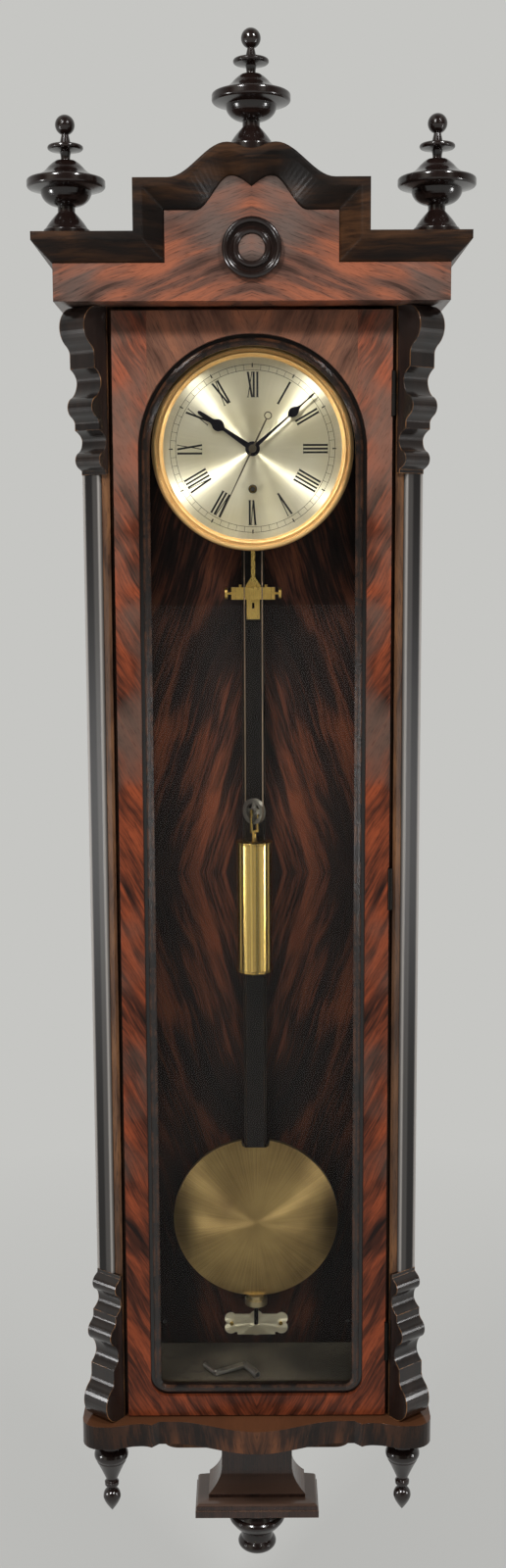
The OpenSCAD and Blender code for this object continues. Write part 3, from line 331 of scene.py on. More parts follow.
def veneer(name, lean, dark, middle, light, sheen_tone, matched=True, quarter=None, seed=0.0,
           cloud=(0.035, 0.14), flame=(0.012, 0.10), weights=(0.50, 0.35, 0.15),
           span=(0.41, 0.48, 0.58), sheen_most=0.5, sheen_rise=0.0, foot_shade=None, side_shade=None,
           gloss=0.3, coat=0.06, shine=0.16, arris=0.0008):
    finish, tree, shader = new_finish(name)
    grain = along_grain(tree, lean, matched, quarter=quarter)
    clouds = streaks(tree, grain, *cloud, seed=seed)
    flames = streaks(tree, grain, *flame, detail=3.0, twist=0.6, seed=seed + 3)
    lines = streaks(tree, grain, *LINE_SIZE, seed=seed + 7)
    pores = streaks(tree, grain, *PORE_SIZE, detail=1.0, seed=seed + 11)
    layers = [times(tree, layer, share) for layer, share in zip((clouds, flames, lines), weights)]
    figure = add(tree, add(tree, layers[0], layers[1]), layers[2])
    colour = ramp(tree, figure, *zip(span, (dark, middle, light)))

    # Painted reflection: a patchy purplish sheen of the light above is mixed into the colour, on
    # some pieces stronger towards the top.
    rise = times(tree, less(tree, place_in_case(tree)[2], SHEEN_MIDDLE_Z), sheen_rise)
    sheen_patches = add(tree, noise(tree, grain[3], SHEEN_SCALE, 2.0), rise)
    painted_sheen = ramp(tree, sheen_patches, (SHEEN_START, grey(0)), (SHEEN_FULL, grey(sheen_most)))
    colour = blend_colours(tree, painted_sheen, colour, sheen_tone)
    speck = ramp(tree, pores, (0.30, grey(0.45)), (0.42, grey(1)))
    colour = blend_colours(tree, 1.0, colour, speck, "MULTIPLY")

    # Painted shade: darker towards the foot, where less light falls.
    if foot_shade:
        top, foot, least = foot_shade
        colour = shaded(tree, colour, remap(tree, place_in_case(tree)[2], foot, top, least, 1.0))
    # Painted shade: darker away from the middle of a wide board.
    if side_shade:
        near, far, least = side_shade
        sideways = calc(tree, "ABSOLUTE", place_in_case(tree)[0])
        colour = shaded(tree, colour, remap(tree, sideways, near, far, 1.0, least))
    tree.links.new(colour, shader.inputs["Base Color"])
    rough = remap(tree, lines, 0.0, 1.0, gloss - 0.07, gloss + 0.1)
    tree.links.new(rough, shader.inputs["Roughness"])
    shader.inputs["Specular IOR Level"].default_value = shine
    shader.inputs["Coat Weight"].default_value = coat
    shader.inputs["Coat Roughness"].default_value = 0.12
    soften(tree, shader, pores, GRAIN_STRENGTH, GRAIN_DEPTH, arris)
    return finish


print("veneer ready")

# %% [markdown]
# ## Ebonised pieces
#
# Pear or lime wood is stained black and polished to look like ebony. Where hands, cloths and a
# century of dusting pass over an edge, the stain goes and the brown wood comes through. The Bevel
# node finds those edges: where its rounded normal differs from the true one, there is an edge.
# Noise breaks the line up, because wear is never even.

# %% Ebonised finish
FIBRE_SIZE, BLACK_CLOUD = (0.0015, 0.03), (0.02, 0.09)
WEAR_REACH, WEAR_PATCH_SCALE = 0.0016, 38.0
BLACK_ARRIS = 0.001


def upright_grain(tree):
    return along_grain(tree, 90, False, 0.004)


def worn_edges(tree, raw, wear):
    edge = node(tree, "ShaderNodeBevel", {"Radius": WEAR_REACH}, samples=6).outputs[0]
    true = node(tree, "ShaderNodeNewGeometry").outputs["Normal"]
    likeness = node(tree, "ShaderNodeVectorMath", {0: edge, 1: true}, operation="DOT_PRODUCT")
    sharp = times(tree, less(tree, 1.0, likeness.outputs["Value"]), 6.0, clamp=True)
    patches = ramp(tree, noise(tree, raw, WEAR_PATCH_SCALE, 4.0, 0.7),
                   (0.40, grey(0)), (0.62, grey(1)))
    return times(tree, times(tree, sharp, patches), wear, clamp=True)


def ebonised(name, stain, worn, coat, wear=1.0, gloss=0.28, shine=0.4, bloom=None):
    finish, tree, shader = new_finish(name)
    grain = upright_grain(tree)
    fibres = streaks(tree, grain, *FIBRE_SIZE)
    broad = streaks(tree, grain, *BLACK_CLOUD, seed=5)
    bloom = bloom or (*(v * 1.7 for v in stain[:3]), 1.0)
    base = ramp(tree, add(tree, times(tree, fibres, 0.5), times(tree, broad, 0.5)),
                (0.36, stain), (0.62, bloom))
    colour = blend_colours(tree, worn_edges(tree, grain[3], wear), base, worn)
    tree.links.new(colour, shader.inputs["Base Color"])
    rough = remap(tree, broad, 0.0, 1.0, gloss - 0.05, gloss + 0.07)
    tree.links.new(rough, shader.inputs["Roughness"])
    shader.inputs["Specular IOR Level"].default_value = shine
    shader.inputs["Coat Weight"].default_value = coat
    shader.inputs["Coat Roughness"].default_value = 0.16
    soften(tree, shader, fibres, GRAIN_STRENGTH, GRAIN_DEPTH, BLACK_ARRIS)
    return finish


print("ebonised ready")

# %% [markdown]
# ## Pilaster strips
#
# A black strip lies on the canted face of each post, and its planed fillets would catch two soft
# lines of light from top to bottom. They could be cut into the mesh, but they are shallower than a
# millimetre and keep one width all the way, so a ramp across the strip paints the two lines into
# the colour as painted highlights. It runs on the distance from the strip's inner edge, measured
# along the cant.

# %% Pilaster finish
STRIP_EDGE_X, STRIP_EDGE_Y = 0.168, -0.129
STRIP_CANT, STRIP_WIDE = math.radians(38), 0.0343


def pilaster_finish(name, dark, sheen):
    finish, tree, shader = new_finish(name)
    x, y, _ = place_in_case(tree)
    out = less(tree, calc(tree, "ABSOLUTE", x), STRIP_EDGE_X)
    back = less(tree, y, STRIP_EDGE_Y)
    along = add(tree, times(tree, out, math.cos(STRIP_CANT)),
                times(tree, back, math.sin(STRIP_CANT)))
    share = times(tree, along, 1 / STRIP_WIDE)
    between = tuple((6 * a + b) / 7 for a, b in zip(dark, sheen))
    # Painted highlights: two light lines of the sheen colour lie in the ramp, with a faint mix
    # between them.
    colour = ramp(tree, share, (0.22, dark), (0.29, sheen), (0.36, between), (0.52, between),
                  (0.6, dark), (0.86, dark), (0.94, sheen))
    tree.links.new(colour, shader.inputs["Base Color"])
    shader.inputs["Roughness"].default_value = 0.3
    shader.inputs["Specular IOR Level"].default_value = 0.3
    fibres = streaks(tree, upright_grain(tree), *FIBRE_SIZE)
    soften(tree, shader, fibres, GRAIN_STRENGTH, GRAIN_DEPTH, BLACK_ARRIS)
    return finish


print("pilaster finish ready")

# %% [markdown]
# ## Brass and steel
#
# All bare metal here was cut on a lathe or rubbed along one direction, and that leaves fine lines
# that stretch a highlight across themselves. `rings` draws circles round an axis that comes out of
# the wall, and `drawn` draws upright lines. Age dulls lacquered brass in soft blotches, which go
# into the colour and the roughness.

# %% Metal finish
TARNISH_SCALE = 24.0
METAL_ARRIS = 0.0004


def from_axis(tree, centre):
    """How far a point is sideways, upwards and straight out from the axis, and its Y."""
    x, y, z = place_in_case(tree)
    dx, dz = less(tree, x, centre[0]), less(tree, z, centre[1])
    radius = calc(tree, "SQRT", add(tree, times(tree, dx, dx), times(tree, dz, dz)))
    return dx, dz, radius, y


def rings(tree, centre, pitch):
    _, _, radius, y = from_axis(tree, centre)
    vector = combine(tree, times(tree, radius, 1 / pitch), times(tree, y, 1 / pitch), 0.0)
    return noise(tree, vector, 1.0, 2.0)


def drawn(tree, wide, long):
    x, y, z = place_in_case(tree)
    vector = combine(
        tree, times(tree, x, 1 / wide), times(tree, y, 1 / wide), times(tree, z, 1 / long))
    return noise(tree, vector, 1.0, 2.0)


def rubbed_lines(tree):
    return drawn(tree, 0.0004, 0.006)


def metal(name, colour, dull, gloss, marks=rubbed_lines, tarnish=0.5, depth=0.00006, streak=0.8,
          bare=1.0):
    finish, tree, shader = new_finish(name)
    lines = marks(tree)
    age = noise(tree, case_vector(tree), TARNISH_SCALE, 4.0, 0.65)
    stain = ramp(tree, age, (0.38, grey(0)), (0.70, grey(tarnish)))
    mixed = blend_colours(tree, stain, colour, dull)
    shade = ramp(tree, lines, (0.34, grey(streak)), (0.62, grey(1)))
    mixed = blend_colours(tree, 1.0, mixed, shade, "MULTIPLY")
    tree.links.new(mixed, shader.inputs["Base Color"])
    rough = add(tree, times(tree, age, 0.16), times(tree, lines, 0.08))
    tree.links.new(add(tree, rough, gloss - 0.12), shader.inputs["Roughness"])
    shader.inputs["Metallic"].default_value = bare
    soften(tree, shader, lines, 0.35, depth, METAL_ARRIS)
    return finish


print("metal ready")

# %% [markdown]
# ## The silvered dial
#
# A dial is silvered by rubbing silver chloride into brass while it turns under the hand, then
# brushing it from the middle outwards. Light catches such a surface as a star of bright beams,
# because each fine radial scratch throws its highlight sideways. An anisotropic shader does the
# same if its tangent runs round the dial: the lamps then make the beams, and they move as they
# should. The bob was polished the same way, so it takes this finish in the colour of dull brass.

# %% Silvered finish
STROKES_ROUND, STROKES_OUT = 90.0, 6.0


def silvered(name, centre=(DIAL_X, DIAL_Z), pale=tone(212, 202, 168), bright=tone(230, 222, 194),
             rough=(0.31, 0.37), stretch=1.0, tarnish=0.1, bare=0.85):
    finish, tree, shader = new_finish(name)
    dx, dz, radius, _ = from_axis(tree, centre)
    angle = calc(tree, "ARCTAN2", dz, dx)
    around = combine(
        tree, times(tree, calc(tree, "COSINE", angle), STROKES_ROUND),
        times(tree, calc(tree, "SINE", angle), STROKES_ROUND), times(tree, radius, STROKES_OUT))
    brush = noise(tree, around, 1.0, 3.0, 0.6)
    cloud = noise(tree, case_vector(tree), 14.0, 3.0)
    colour = ramp(tree, cloud, (0.35, pale), (0.65, bright))
    shade = ramp(tree, brush, (0.3, grey(1 - tarnish)), (0.7, grey(1)))
    colour = blend_colours(tree, 1.0, colour, shade, "MULTIPLY")
    tree.links.new(colour, shader.inputs["Base Color"])
    tree.links.new(remap(tree, brush, 0.0, 1.0, *rough), shader.inputs["Roughness"])
    shader.inputs["Metallic"].default_value = bare
    shader.inputs["Anisotropic"].default_value = stretch
    tangent = node(tree, "ShaderNodeTangent", direction_type="RADIAL", axis="Y")
    tree.links.new(tangent.outputs[0], shader.inputs["Tangent"])
    soften(tree, shader, brush, 0.02, 0.00002, 0.0003)
    return finish


print("silvering ready")

# %% [markdown]
# ## Clear glass
#
# The panes are old hand-polished glass, clear and a little wavy. Glass that bends light would block
# the lamps in this renderer and leave the case black, so shadow rays pass through it as if it
# weren't there. Its index is set low, to 1.15. At the real 1.5 the pale ground that it mirrors
# would lie over the dark backboard as a grey film.

# %% Glass finish
def pane_glass(name):
    finish, tree, shader = new_finish(name)
    shader.inputs["Base Color"].default_value = (0.97, 0.98, 0.97, 1)
    shader.inputs["Transmission Weight"].default_value = 1.0
    shader.inputs["Roughness"].default_value = 0.0
    shader.inputs["IOR"].default_value = 1.15
    wave = noise(tree, case_vector(tree), 9.0, 1.0)
    bump = node(tree, "ShaderNodeBump", {"Strength": 0.05, "Distance": 0.0004, "Height": wave})
    tree.links.new(bump.outputs[0], shader.inputs["Normal"])
    clear = node(tree, "ShaderNodeBsdfTransparent")
    shadow = node(tree, "ShaderNodeLightPath").outputs["Is Shadow Ray"]
    both = node(tree, "ShaderNodeMixShader", {0: shadow, 1: shader.outputs[0], 2: clear.outputs[0]})
    tree.links.new(both.outputs[0], tree.nodes["finish_output"].inputs["Surface"])
    return finish


print("glass ready")

# %% [markdown]
# ## The walnut of the case
#
# Each material slot of the record gets its finish in `finishes`. Where one piece differs from the
# others of its slot, `own_finish` names it. The colours were judged from the photograph. The stiles
# and the frieze are orange and brown walnut under a painted purplish sheen, the top rail of the
# door is painted paler for the light that falls on it from above, and the backboard is nearly black
# with flames, under painted shade that darkens it towards its foot and sides.

# %% Veneered pieces
finishes = {}
own_finish = {}

# The stiles take painted shade towards the foot.
finishes["veneer"] = veneer(
    "walnut_stiles", 60, tone(32, 19, 14), tone(94, 48, 32), tone(168, 82, 49), tone(110, 88, 77),
    cloud=(0.034, 0.13), flame=(0.010, 0.07), weights=(0.48, 0.28, 0.24),
    span=(0.40, 0.48, 0.60), sheen_most=0.8, sheen_rise=0.3, foot_shade=(-0.15, -0.6, 0.6))
finishes["frieze_veneer"] = veneer(
    "walnut_flame", -20, tone(62, 44, 37), tone(98, 68, 57), tone(146, 86, 62), tone(100, 90, 84),
    cloud=(0.04, 0.15), flame=(0.014, 0.12), sheen_most=0.8, coat=0.1, shine=0.25)
# The backboard takes painted shade towards its foot and towards the sides of the case.
finishes["back_veneer"] = veneer(
    "backboard_flame", 108, tone(11, 7, 6), tone(31, 18, 14), tone(92, 49, 30), tone(26, 18, 16),
    quarter=-0.71, cloud=(0.05, 0.2), flame=(0.008, 0.10), weights=(0.48, 0.27, 0.25),
    span=(0.41, 0.50, 0.61), sheen_most=0.3, foot_shade=(-0.7, -1.15, 0.4), side_shade=(0.05, 0.14, 0.6),
    gloss=0.5, coat=0.0, shine=0.1)
# Painted light: paler colours and a heavier painted sheen than the stiles stand for the light that
# falls on the top rail from above.
own_finish["door_top_rail"] = veneer(
    "walnut_top_rail_painted_light", 66, tone(62, 42, 34), tone(104, 72, 58), tone(142, 92, 68),
    tone(134, 104, 90), seed=9.0, cloud=(0.05, 0.12), flame=(0.014, 0.07),
    span=(0.36, 0.48, 0.62), sheen_most=0.8)
print(len(finishes), "slots and", len(own_finish), "piece with veneer")

# %% [markdown]
# ## Plain wood
#
# The cornice, the corner posts, the side frames, the floor board and the base are solid wood,
# stained dark, with little figure. They use the same function with their three colours close
# together, and without the mirror where a board runs through. On the cornice the bevel's radius is
# larger, because the humps of its crest are short flats in the model, and a wider rounding smooths
# the shading from one to the next.

# %% Solid wood pieces
finishes["cornice_wood"] = veneer(
    "dark_cornice", 0, tone(14, 10, 8), tone(32, 20, 13), tone(68, 43, 24), tone(34, 26, 20),
    matched=False, gloss=0.38, coat=0.03, arris=0.004)
finishes["case_wood"] = veneer(
    "case_walnut", 90, tone(52, 33, 21), tone(84, 56, 37), tone(112, 76, 48), tone(72, 54, 42),
    matched=False, gloss=0.42, coat=0.03)
own_finish["floor_board"] = veneer(
    "dark_floor", 0, tone(30, 27, 21), tone(44, 39, 31), tone(58, 52, 43), tone(48, 44, 38),
    matched=False, gloss=0.45, coat=0.0, shine=0.1)
# The base takes painted shade towards its ends.
own_finish["base_plate"] = veneer(
    "base_front", 80, tone(18, 11, 9), tone(48, 29, 19), tone(100, 60, 36), tone(50, 34, 26),
    cloud=(0.05, 0.12), flame=(0.016, 0.08), side_shade=(0.06, 0.17, 0.3), gloss=0.2, coat=0.3)
print(len(finishes), "slots so far")

# %% [markdown]
# ## Black pieces
#
# Brackets, finials, drops, pilaster strips and the moulding round the glass are ebonised. The flat
# scrolls of the brackets have lost most stain at their edges, and the turnings least. The pendant
# has faded to a dark brown, and the pendulum rod behind the glass is the blackest of all, with
# almost no shine.

# %% Ebonised pieces
finishes["ebonised"] = ebonised(
    "ebonised_pear", tone(15, 12, 11), tone(168, 116, 68), coat=0.3, gloss=0.2,
    bloom=tone(32, 23, 19))
finishes["turned_black"] = ebonised(
    "ebonised_turning", tone(20, 12, 10), tone(90, 54, 36), coat=0.4, wear=0.25, gloss=0.16)
own_finish["pilaster_strips"] = pilaster_finish(
    "ebonised_pilaster", tone(16, 12, 11), tone(150, 145, 140))
own_finish["door_moulding"] = ebonised(
    "ebonised_moulding", tone(17, 13, 11), tone(104, 64, 40), coat=0.4, wear=0.6, gloss=0.16)
own_finish["pendulum_rod"] = ebonised(
    "ebonised_rod", tone(9, 7, 6), tone(120, 84, 52), coat=0.02, wear=0.5, shine=0.15,
    bloom=tone(17, 12, 10))
own_finish["pendant_block"] = ebonised(
    "ebonised_pendant", tone(28, 17, 13), tone(140, 100, 64), coat=0.3, wear=0.5, gloss=0.24,
    bloom=tone(58, 36, 28))
print(len(own_finish), "pieces with a finish of their own")

# %% [markdown]
# ## Upward faces
#
# The shoulder of the base and the top of the pendant look up into the light, so a painted highlight
# makes them brighter than the fronts. The upward part of the surface's normal finds them wherever
# they are.

# %% Brighter tops
def paint_top_light(finish, colour, start=0.5, gain=1.6):
    tree = finish.node_tree
    base = tree.nodes["Principled BSDF"].inputs["Base Color"]
    normal = node(tree, "ShaderNodeNewGeometry").outputs["Normal"]
    up = node(tree, "ShaderNodeSeparateXYZ", {0: normal}).outputs[2]
    # Painted highlight: the colour turns towards the lighter tone as the face turns up.
    share = times(tree, less(tree, up, start), gain, clamp=True)
    tree.links.new(blend_colours(tree, share, base.links[0].from_socket, colour), base)


# Painted highlights on the shoulder of the base and the top of the pendant.
paint_top_light(own_finish["base_plate"], tone(92, 58, 38))
paint_top_light(own_finish["pendant_block"], tone(98, 76, 64), start=0.12, gain=1.3)
print("tops tinted")

# %% [markdown]
# ## The metals of this clock
#
# The bezel was spun, so its lines are rings. The weight is a tube of sheet brass polished like a
# mirror. Broad upright bands darken its colour: partly the lines of the drawn sheet, partly painted
# reflections of the room round it. The bob is dulled by age. Steel is grey where it was ground, and
# nearly black where it was blued in the fire or japanned. Gut isn't metal, but its twisted strands
# make fine lines in the same way, so it takes the metal finish with its metallic share at zero.

# %% Brass, silver, steel and the rest
def dial_rings(tree):
    return rings(tree, (DIAL_X, DIAL_Z), 0.0018)


def sheet_lines_and_reflections(tree):
    return drawn(tree, 0.0045, 0.9)


finishes["brass"] = metal("lacquered_brass", tone(230, 196, 112), tone(182, 142, 74), 0.28)
finishes["bezel_brass"] = metal(
    "spun_bezel_brass", tone(244, 202, 138), tone(222, 172, 108), 0.46, dial_rings, depth=0.00001)
finishes["bob_brass"] = silvered(
    "dulled_bob_brass", box_middle(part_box("bob")), tone(144, 118, 76), tone(178, 150, 97),
    rough=(0.38, 0.48), stretch=0.88, tarnish=0.35, bare=0.97)
# Painted reflections: the wide upright bands, darkened down to 0.3, stand partly for the room
# mirrored in the tube.
finishes["weight_brass"] = metal(
    "mirror_brass", tone(230, 196, 116), tone(190, 150, 82), 0.16, sheet_lines_and_reflections, tarnish=0.25,
    depth=0.00002, streak=0.3)
finishes["silvered"] = silvered("silvered_dial")
finishes["blued_steel"] = metal("blued_steel", tone(52, 50, 56), tone(34, 32, 34), 0.3)
finishes["steel"] = metal("ground_steel", tone(176, 172, 164), tone(120, 116, 108), 0.34)
finishes["iron"] = metal("japanned_iron", tone(40, 38, 36), tone(26, 24, 22), 0.5)
finishes["glass"] = pane_glass("old_pane")
finishes["gut"] = metal("gut_strand", tone(92, 74, 52), tone(60, 47, 33), 0.5, bare=0.0)
own_finish["seconds_hand"] = metal("seconds_steel", tone(98, 90, 76), tone(74, 66, 54), 0.36)
own_finish["pulley"] = metal("pulley_steel", tone(112, 108, 100), tone(78, 74, 68), 0.38)
own_finish["rating_nut"] = metal("pale_nut_brass", tone(168, 154, 120), tone(128, 112, 84), 0.4)
# Painted shade: the winding square is darker than the ground steel, partly its own tone, partly the
# shade inside the winding hole.
own_finish["winding_drum"] = metal(
    "winding_square_steel_shaded", tone(78, 74, 68), tone(52, 49, 45), 0.4)
print(len(finishes), "slots and", len(own_finish), "single pieces have a finish")

# %% [markdown]
# ## Putting the finishes on
#
# The record says which slot each node takes, so one loop dresses the whole clock. Only the material
# changes: the solids themselves stay exactly as the CAD model has them.

# %% Dress every solid
for part in frame["record"]["subparts"]:
    chosen = own_finish.get(part["node"], finishes[part["material_slot"]])
    for place in nodes[part["node"]].material_slots:
        place.material = chosen

# %% [markdown]
# ## The gut line
#
# The weight hangs on two straight runs of gut, and they must grow as it sinks and shorten as it is
# wound up. A copy of the solid's mesh stands for them, and the solid is hidden. A tube that has no
# rings of points in between stays straight and keeps its thickness while it stretches.

# %% Runs of the gut line
def stretching_runs(name, node_name, finish):
    made = bpy.data.objects.new(name, nodes[node_name].data.copy())
    bpy.context.scene.collection.objects.link(made)
    made.data.materials.clear()
    made.data.materials.append(finish)
    levels = sorted({round(corner.co.z, 4) for corner in made.data.vertices})
    print(name, "has points at z", levels[:3], "to", levels[-3:])
    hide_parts(node_name)
    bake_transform(made)


stretching_runs("gut_runs", "gut_line", finishes["gut"])

# %% [markdown]
# ## Strokes of the numerals
#
# The black figures are wax rubbed into shallow engraving, level with the dial. Each numeral is
# built from strokes, as a signwriter would: a thick down stroke, a thin up stroke, and short
# serifs. A font would be quicker, but its figures aren't drawn out as long and narrow as a dial
# maker's. All stand with their feet towards the middle, so a stroke runs from a foot radius to a
# head radius. Sizes on the dial are in millimetres.

# %% Strokes and letters
THICK, THIN = 2.3, 0.95
SERIF_TALL, SERIF_TAPER = 0.6, 0.4
FOOT_R, HEAD_R = 58.8, 87.7

# For each letter: its strokes as (foot, head, width), its serifs as (middle, width, at the head),
# and the step to the next letter.
LETTERS = {
    "I": ([(0.0, 0.0, THICK)], [(0.0, 3.6, True), (0.0, 3.6, False)], 4.2),
    "V": ([(3.0, 0.6, THICK), (3.2, 5.6, THIN)], [(0.6, 3.2, True), (5.4, 2.6, True)], 7.2),
    "X": ([(5.4, 0.6, THICK), (0.6, 5.4, THIN)],
          [(0.6, 2.9, True), (0.6, 2.9, False), (5.4, 2.9, True), (5.4, 2.9, False)], 7.4),
}


def stroke(foot, head, wide):
    half = wide / 2
    return [(foot - half, FOOT_R), (foot + half, FOOT_R), (head + half, HEAD_R),
            (head - half, HEAD_R)]


def serif(x, wide, at_head):
    base, tip = (HEAD_R, HEAD_R - SERIF_TALL) if at_head else (FOOT_R, FOOT_R + SERIF_TALL)
    half = wide / 2
    return [(x - half, base), (x + half, base), (x + half - SERIF_TAPER, tip),
            (x - half + SERIF_TAPER, tip)]


def letter(kind, x):
    strokes, serifs, step = LETTERS[kind]
    shapes = [stroke(x + foot, x + head, wide) for foot, head, wide in strokes]
    shapes += [serif(x + at, wide, at_head) for at, wide, at_head in serifs]
    return shapes, step


print(len(LETTERS), "letters ready")

# %% [markdown]
# ## Flat pieces on the dial
#
# A flat shape a tenth of a millimetre thick looks like wax in engraving and stays sharp at any
# distance, where a picture would blur. `flat_piece` turns outlines into one thin mesh that rides
# with the case, and `on_dial` turns an outline to its hour.

# %% A flat piece on the dial
SUNK = 0.00002


def flat_piece(name, shapes, face_y, proud, body, finish):
    mesh = bpy.data.meshes.new(name)
    points, faces = [], []
    for shape in shapes:
        first, count = len(points), len(shape)
        points += [(x, face_y + SUNK, z) for x, z in shape]
        points += [(x, face_y - proud, z) for x, z in shape]
        faces.append([first + k for k in range(count)])
        faces.append([first + count + k for k in reversed(range(count))])
        for k in range(count):
            nxt = (k + 1) % count
            faces.append([first + nxt, first + k, first + count + k, first + count + nxt])
    mesh.from_pydata(points, [], faces)
    mesh.validate()
    mesh.update()
    made = bpy.data.objects.new(name, mesh)
    bpy.context.scene.collection.objects.link(made)
    made.data.materials.append(finish)
    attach(made, body)


def on_dial(shape, clock_angle):
    """Turns points given as (sideways, outwards) to a clockwise angle from twelve."""
    a = math.radians(clock_angle)
    return [(DIAL_X + (x * math.cos(a) + r * math.sin(a)) * MM,
             DIAL_Z + (r * math.cos(a) - x * math.sin(a)) * MM) for x, r in shape]


wax, _, wax_shader = new_finish("black_wax")
wax_shader.inputs["Base Color"].default_value = tone(20, 18, 17)
wax_shader.inputs["Roughness"].default_value = 0.7
wax_shader.inputs["Specular IOR Level"].default_value = 0.15
print("wax ready")

# %% [markdown]
# ## The hours
#
# Twelve words of strokes stand round the dial. Each word is set about its own middle, so the room
# after its last letter is taken off first. Four is written IIII, as clock dials have it, to balance
# the VIII across from it.

# %% Numerals
HOURS = ["XII", "I", "II", "III", "IIII", "V", "VI", "VII", "VIII", "IX", "X", "XI"]
ROOM_AFTER = {"I": 4.2, "V": 1.6, "X": 1.6}
NUMERAL_PROUD = 0.0001

numeral_shapes = []
for hour, word in enumerate(HOURS):
    wide, parts = 0.0, []
    for kind in word:
        made, step = letter(kind, wide)
        parts += made
        wide += step
    middle = (wide - ROOM_AFTER[word[-1]]) / 2
    for shape in parts:
        numeral_shapes.append(on_dial([(x - middle, r) for x, r in shape], hour * 30))
flat_piece("dial_numerals", numeral_shapes, DIAL_FACE_Y, NUMERAL_PROUD, "case", wax)
print(len(numeral_shapes), "strokes in the numerals")

# %% [markdown]
# ## Inlay in the roundel
#
# A thin disc of the frieze's veneer lies in the middle of the turned roundel under the cornice. It
# is a flat piece like the figures, with the frieze's own finish.

# %% Roundel inlay
ROUNDEL_X, ROUNDEL_Z = box_middle(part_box("roundel"))
INLAY_R, INLAY_Y, INLAY_PROUD = 0.0146, -0.175, 0.0003
INLAY_STEPS = 64

inlay_edge = []
for k in range(INLAY_STEPS):
    turn = math.tau * k / INLAY_STEPS
    inlay_edge.append((ROUNDEL_X + INLAY_R * math.sin(turn), ROUNDEL_Z + INLAY_R * math.cos(turn)))
flat_piece("roundel_inlay", [inlay_edge], INLAY_Y, INLAY_PROUD, "case",
           finishes["frieze_veneer"])
print("inlay of radius", INLAY_R)

# %% [markdown]
# ## Minute track
#
# Outside the hours run two engraved rings with a mark for each minute between them, and a bolder
# one at every fifth. The marks narrow outwards. One more ring is engraved round the winding hole
# below the middle.

# %% Minute track
INNER_RING, OUTER_RING = (89.4, 89.9), (95.8, 96.3)
MARK_HALF, MARK_LOW, MARK_HIGH = 0.24, 89.7, 96.1
BOLD_HALF, BOLD_LOW, BOLD_HIGH = 0.8, 93.0, 97.6
MARK_NARROWS = 0.6
WINDING_RING, WINDING_DROP = (4.05, 5.0), 0.046
TRACK_PROUD = 0.00006


def ring_shapes(inner, outer, steps=180):
    made = []
    for k in range(steps):
        a, b = math.tau * k / steps, math.tau * (k + 1) / steps
        made.append([(DIAL_X + r * MM * math.sin(t), DIAL_Z + r * MM * math.cos(t))
                     for r, t in ((inner, a), (outer, a), (outer, b), (inner, b))])
    return made


track = ring_shapes(*OUTER_RING) + ring_shapes(*INNER_RING)
for minute in range(60):
    bold = minute % 5 == 0
    half, low, high = (
        (BOLD_HALF, BOLD_LOW, BOLD_HIGH) if bold else (MARK_HALF, MARK_LOW, MARK_HIGH))
    tip = half * MARK_NARROWS
    track.append(on_dial([(-half, low), (half, low), (tip, high), (-tip, high)], minute * 6))
track += [[(x, z - WINDING_DROP) for x, z in shape] for shape in ring_shapes(*WINDING_RING, 48)]
flat_piece("dial_minute_track", track, DIAL_FACE_Y, TRACK_PROUD, "case", wax)
print(len(track), "marks in the track")

# %% [markdown]
# ## World
#
# The clock hangs free in front of a pale ground, so it can be looked at from behind too. The world
# lights it evenly and shows a pale tone to the camera and through the glass. What a polished
# surface mirrors from in front of the clock should be dark, or the polish turns milky: there the
# world has a dark tone with a broad pale band on the left and a narrower one on the right, and
# these give the soft sheens on the black scrolls and the brass.

# %% Pale ground and what the polish mirrors
PALE = tone(198, 198, 195)
DARK_LEFT, DARK_RIGHT = tone(74, 70, 66), tone(80, 76, 72)
EVEN_LIGHT = 0.3


def sees_backdrop(tree):
    path = node(tree, "ShaderNodeLightPath").outputs
    seen = calc(tree, "MAXIMUM", path["Is Camera Ray"], path["Is Glossy Ray"])
    return calc(tree, "MAXIMUM", seen, path["Is Transmission Ray"])


world = bpy.data.worlds.new("studio_world")
bpy.context.scene.world = world
world.use_nodes = True
sky = world.node_tree
sky.nodes.clear()
direction = node(sky, "ShaderNodeTexCoord").outputs["Generated"]
sideways, facing, _ = node(sky, "ShaderNodeSeparateXYZ", {0: direction}).outputs
front = remap(sky, facing, 0.3, -0.4, 0.0, 1.0)
mirrored = node(sky, "ShaderNodeLightPath").outputs["Is Glossy Ray"]
bands = ramp(sky, add(sky, times(sky, sideways, 0.5), 0.5),
             (0.08, DARK_LEFT), (0.16, tone(225, 220, 206)), (0.24, tone(200, 194, 180)),
             (0.32, DARK_LEFT), (0.70, DARK_RIGHT), (0.78, tone(205, 200, 188)),
             (0.84, DARK_RIGHT))
room = blend_colours(sky, times(sky, front, mirrored), PALE, bands)
fill = node(sky, "ShaderNodeBackground", {"Color": (1, 1, 1, 1), "Strength": EVEN_LIGHT})
shown = node(sky, "ShaderNodeBackground", {"Color": room, "Strength": 1.0})
pick = node(sky, "ShaderNodeMixShader", {
    0: sees_backdrop(sky), 1: fill.outputs[0], 2: shown.outputs[0]})
node(sky, "ShaderNodeOutputWorld", {"Surface": pick.outputs[0]})
print("world ready")

# %% [markdown]
# ## Lamps
#
# Two small lamps hang high in front, one on each side. A brushed dial turns each of them into one
# straight beam through its middle, so two lamps make the cross of light of the photograph. Two low
# lamps stand far out at the sides and put the bands of light on the rolls of the brackets. Larger
# lamps would be softer, but they grey the black wood all over.

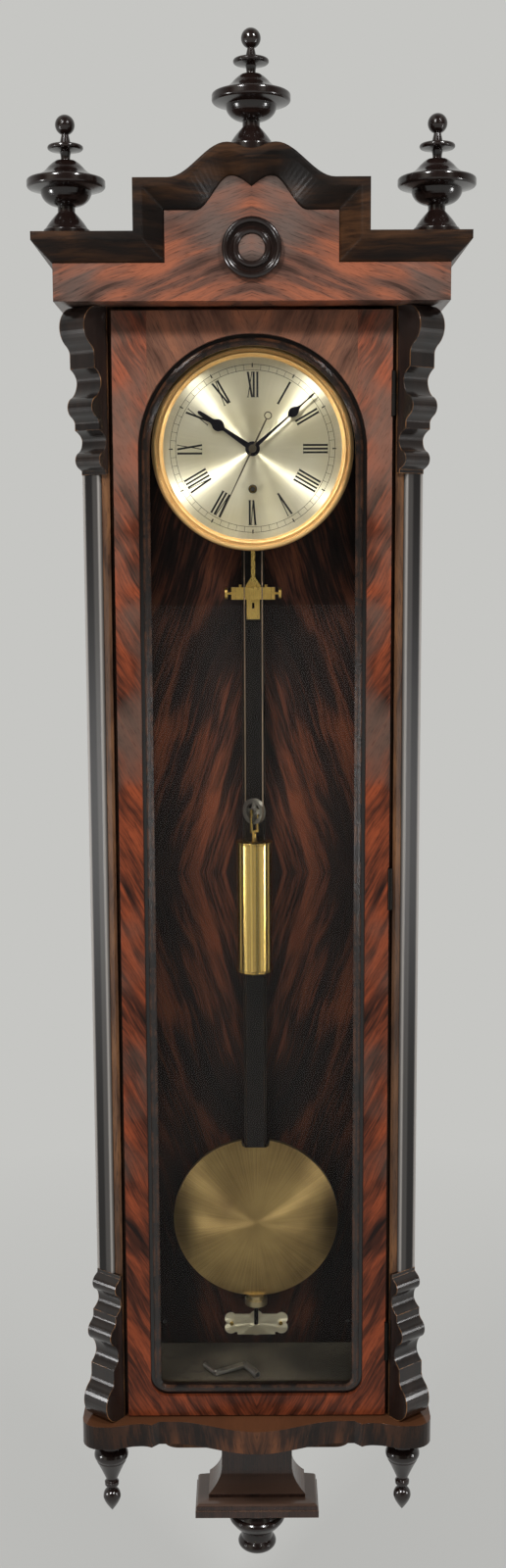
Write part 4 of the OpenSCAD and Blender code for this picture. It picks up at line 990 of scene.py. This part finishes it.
# %% Lamps
def softbox(name, place, aim, size, watts):
    data = bpy.data.lights.new(name, "AREA")
    data.shape = "RECTANGLE"
    data.size, data.size_y = size
    data.energy = watts
    lamp = bpy.data.objects.new(name, data)
    bpy.context.scene.collection.objects.link(lamp)
    lamp.location = place
    lamp.rotation_euler = (Vector(aim) - Vector(place)).to_track_quat("-Z", "Y").to_euler()


UPPER_AIM, LOWER_AIM = (0, 0, -0.4), (0, 0, -0.6)
softbox("key_left", (-1.15, -2.1, 1.45), UPPER_AIM, (0.36, 0.36), 52)
softbox("key_right", (1.35, -2.0, 1.5), UPPER_AIM, (0.32, 0.32), 40)
softbox("side_left", (-2.3, -0.9, -0.95), LOWER_AIM, (0.35, 0.6), 21)
softbox("side_right", (2.3, -0.9, -0.95), LOWER_AIM, (0.35, 0.6), 16)
print("four lamps")

# %% [markdown]
# ## Floor
#
# A wide pale floor lies below. Near the clock it takes the shadow, and further out it fades into
# exactly the tone of the world, so no horizon shows.

# %% Floor
FLOOR_DROP, FLOOR_HALF = 0.35, 40


def studio_floor(height, half):
    mesh = bpy.data.meshes.new("studio_floor")
    corners = [(-half, -half, height), (half, -half, height), (half, half, height),
               (-half, half, height)]
    mesh.from_pydata(corners, [], [(0, 1, 2, 3)])
    floor = bpy.data.objects.new("studio_floor", mesh)
    bpy.context.scene.collection.objects.link(floor)
    finish = bpy.data.materials.new("pale_floor")
    finish.use_nodes = True
    tree = finish.node_tree
    tree.nodes.clear()
    away = node(tree, "ShaderNodeVectorMath", {0: case_vector(tree), 1: (0, 0, height)},
                operation="DISTANCE").outputs["Value"]
    share = remap(tree, away, 0.4, 2.4, 0.55, 1.0)
    glow = node(tree, "ShaderNodeEmission", {"Color": PALE, "Strength": 1.0})
    matt = node(tree, "ShaderNodeBsdfDiffuse", {"Color": tone(205, 205, 202)})
    mixed = node(tree, "ShaderNodeMixShader", {
        0: times(tree, sees_backdrop(tree), share), 1: matt.outputs[0], 2: glow.outputs[0]})
    node(tree, "ShaderNodeOutputMaterial", {"Surface": mixed.outputs[0]})
    mesh.materials.append(finish)


floor_z = cad_box[0].z - FLOOR_DROP
studio_floor(floor_z, FLOOR_HALF)
print("floor at", round(floor_z, 3))
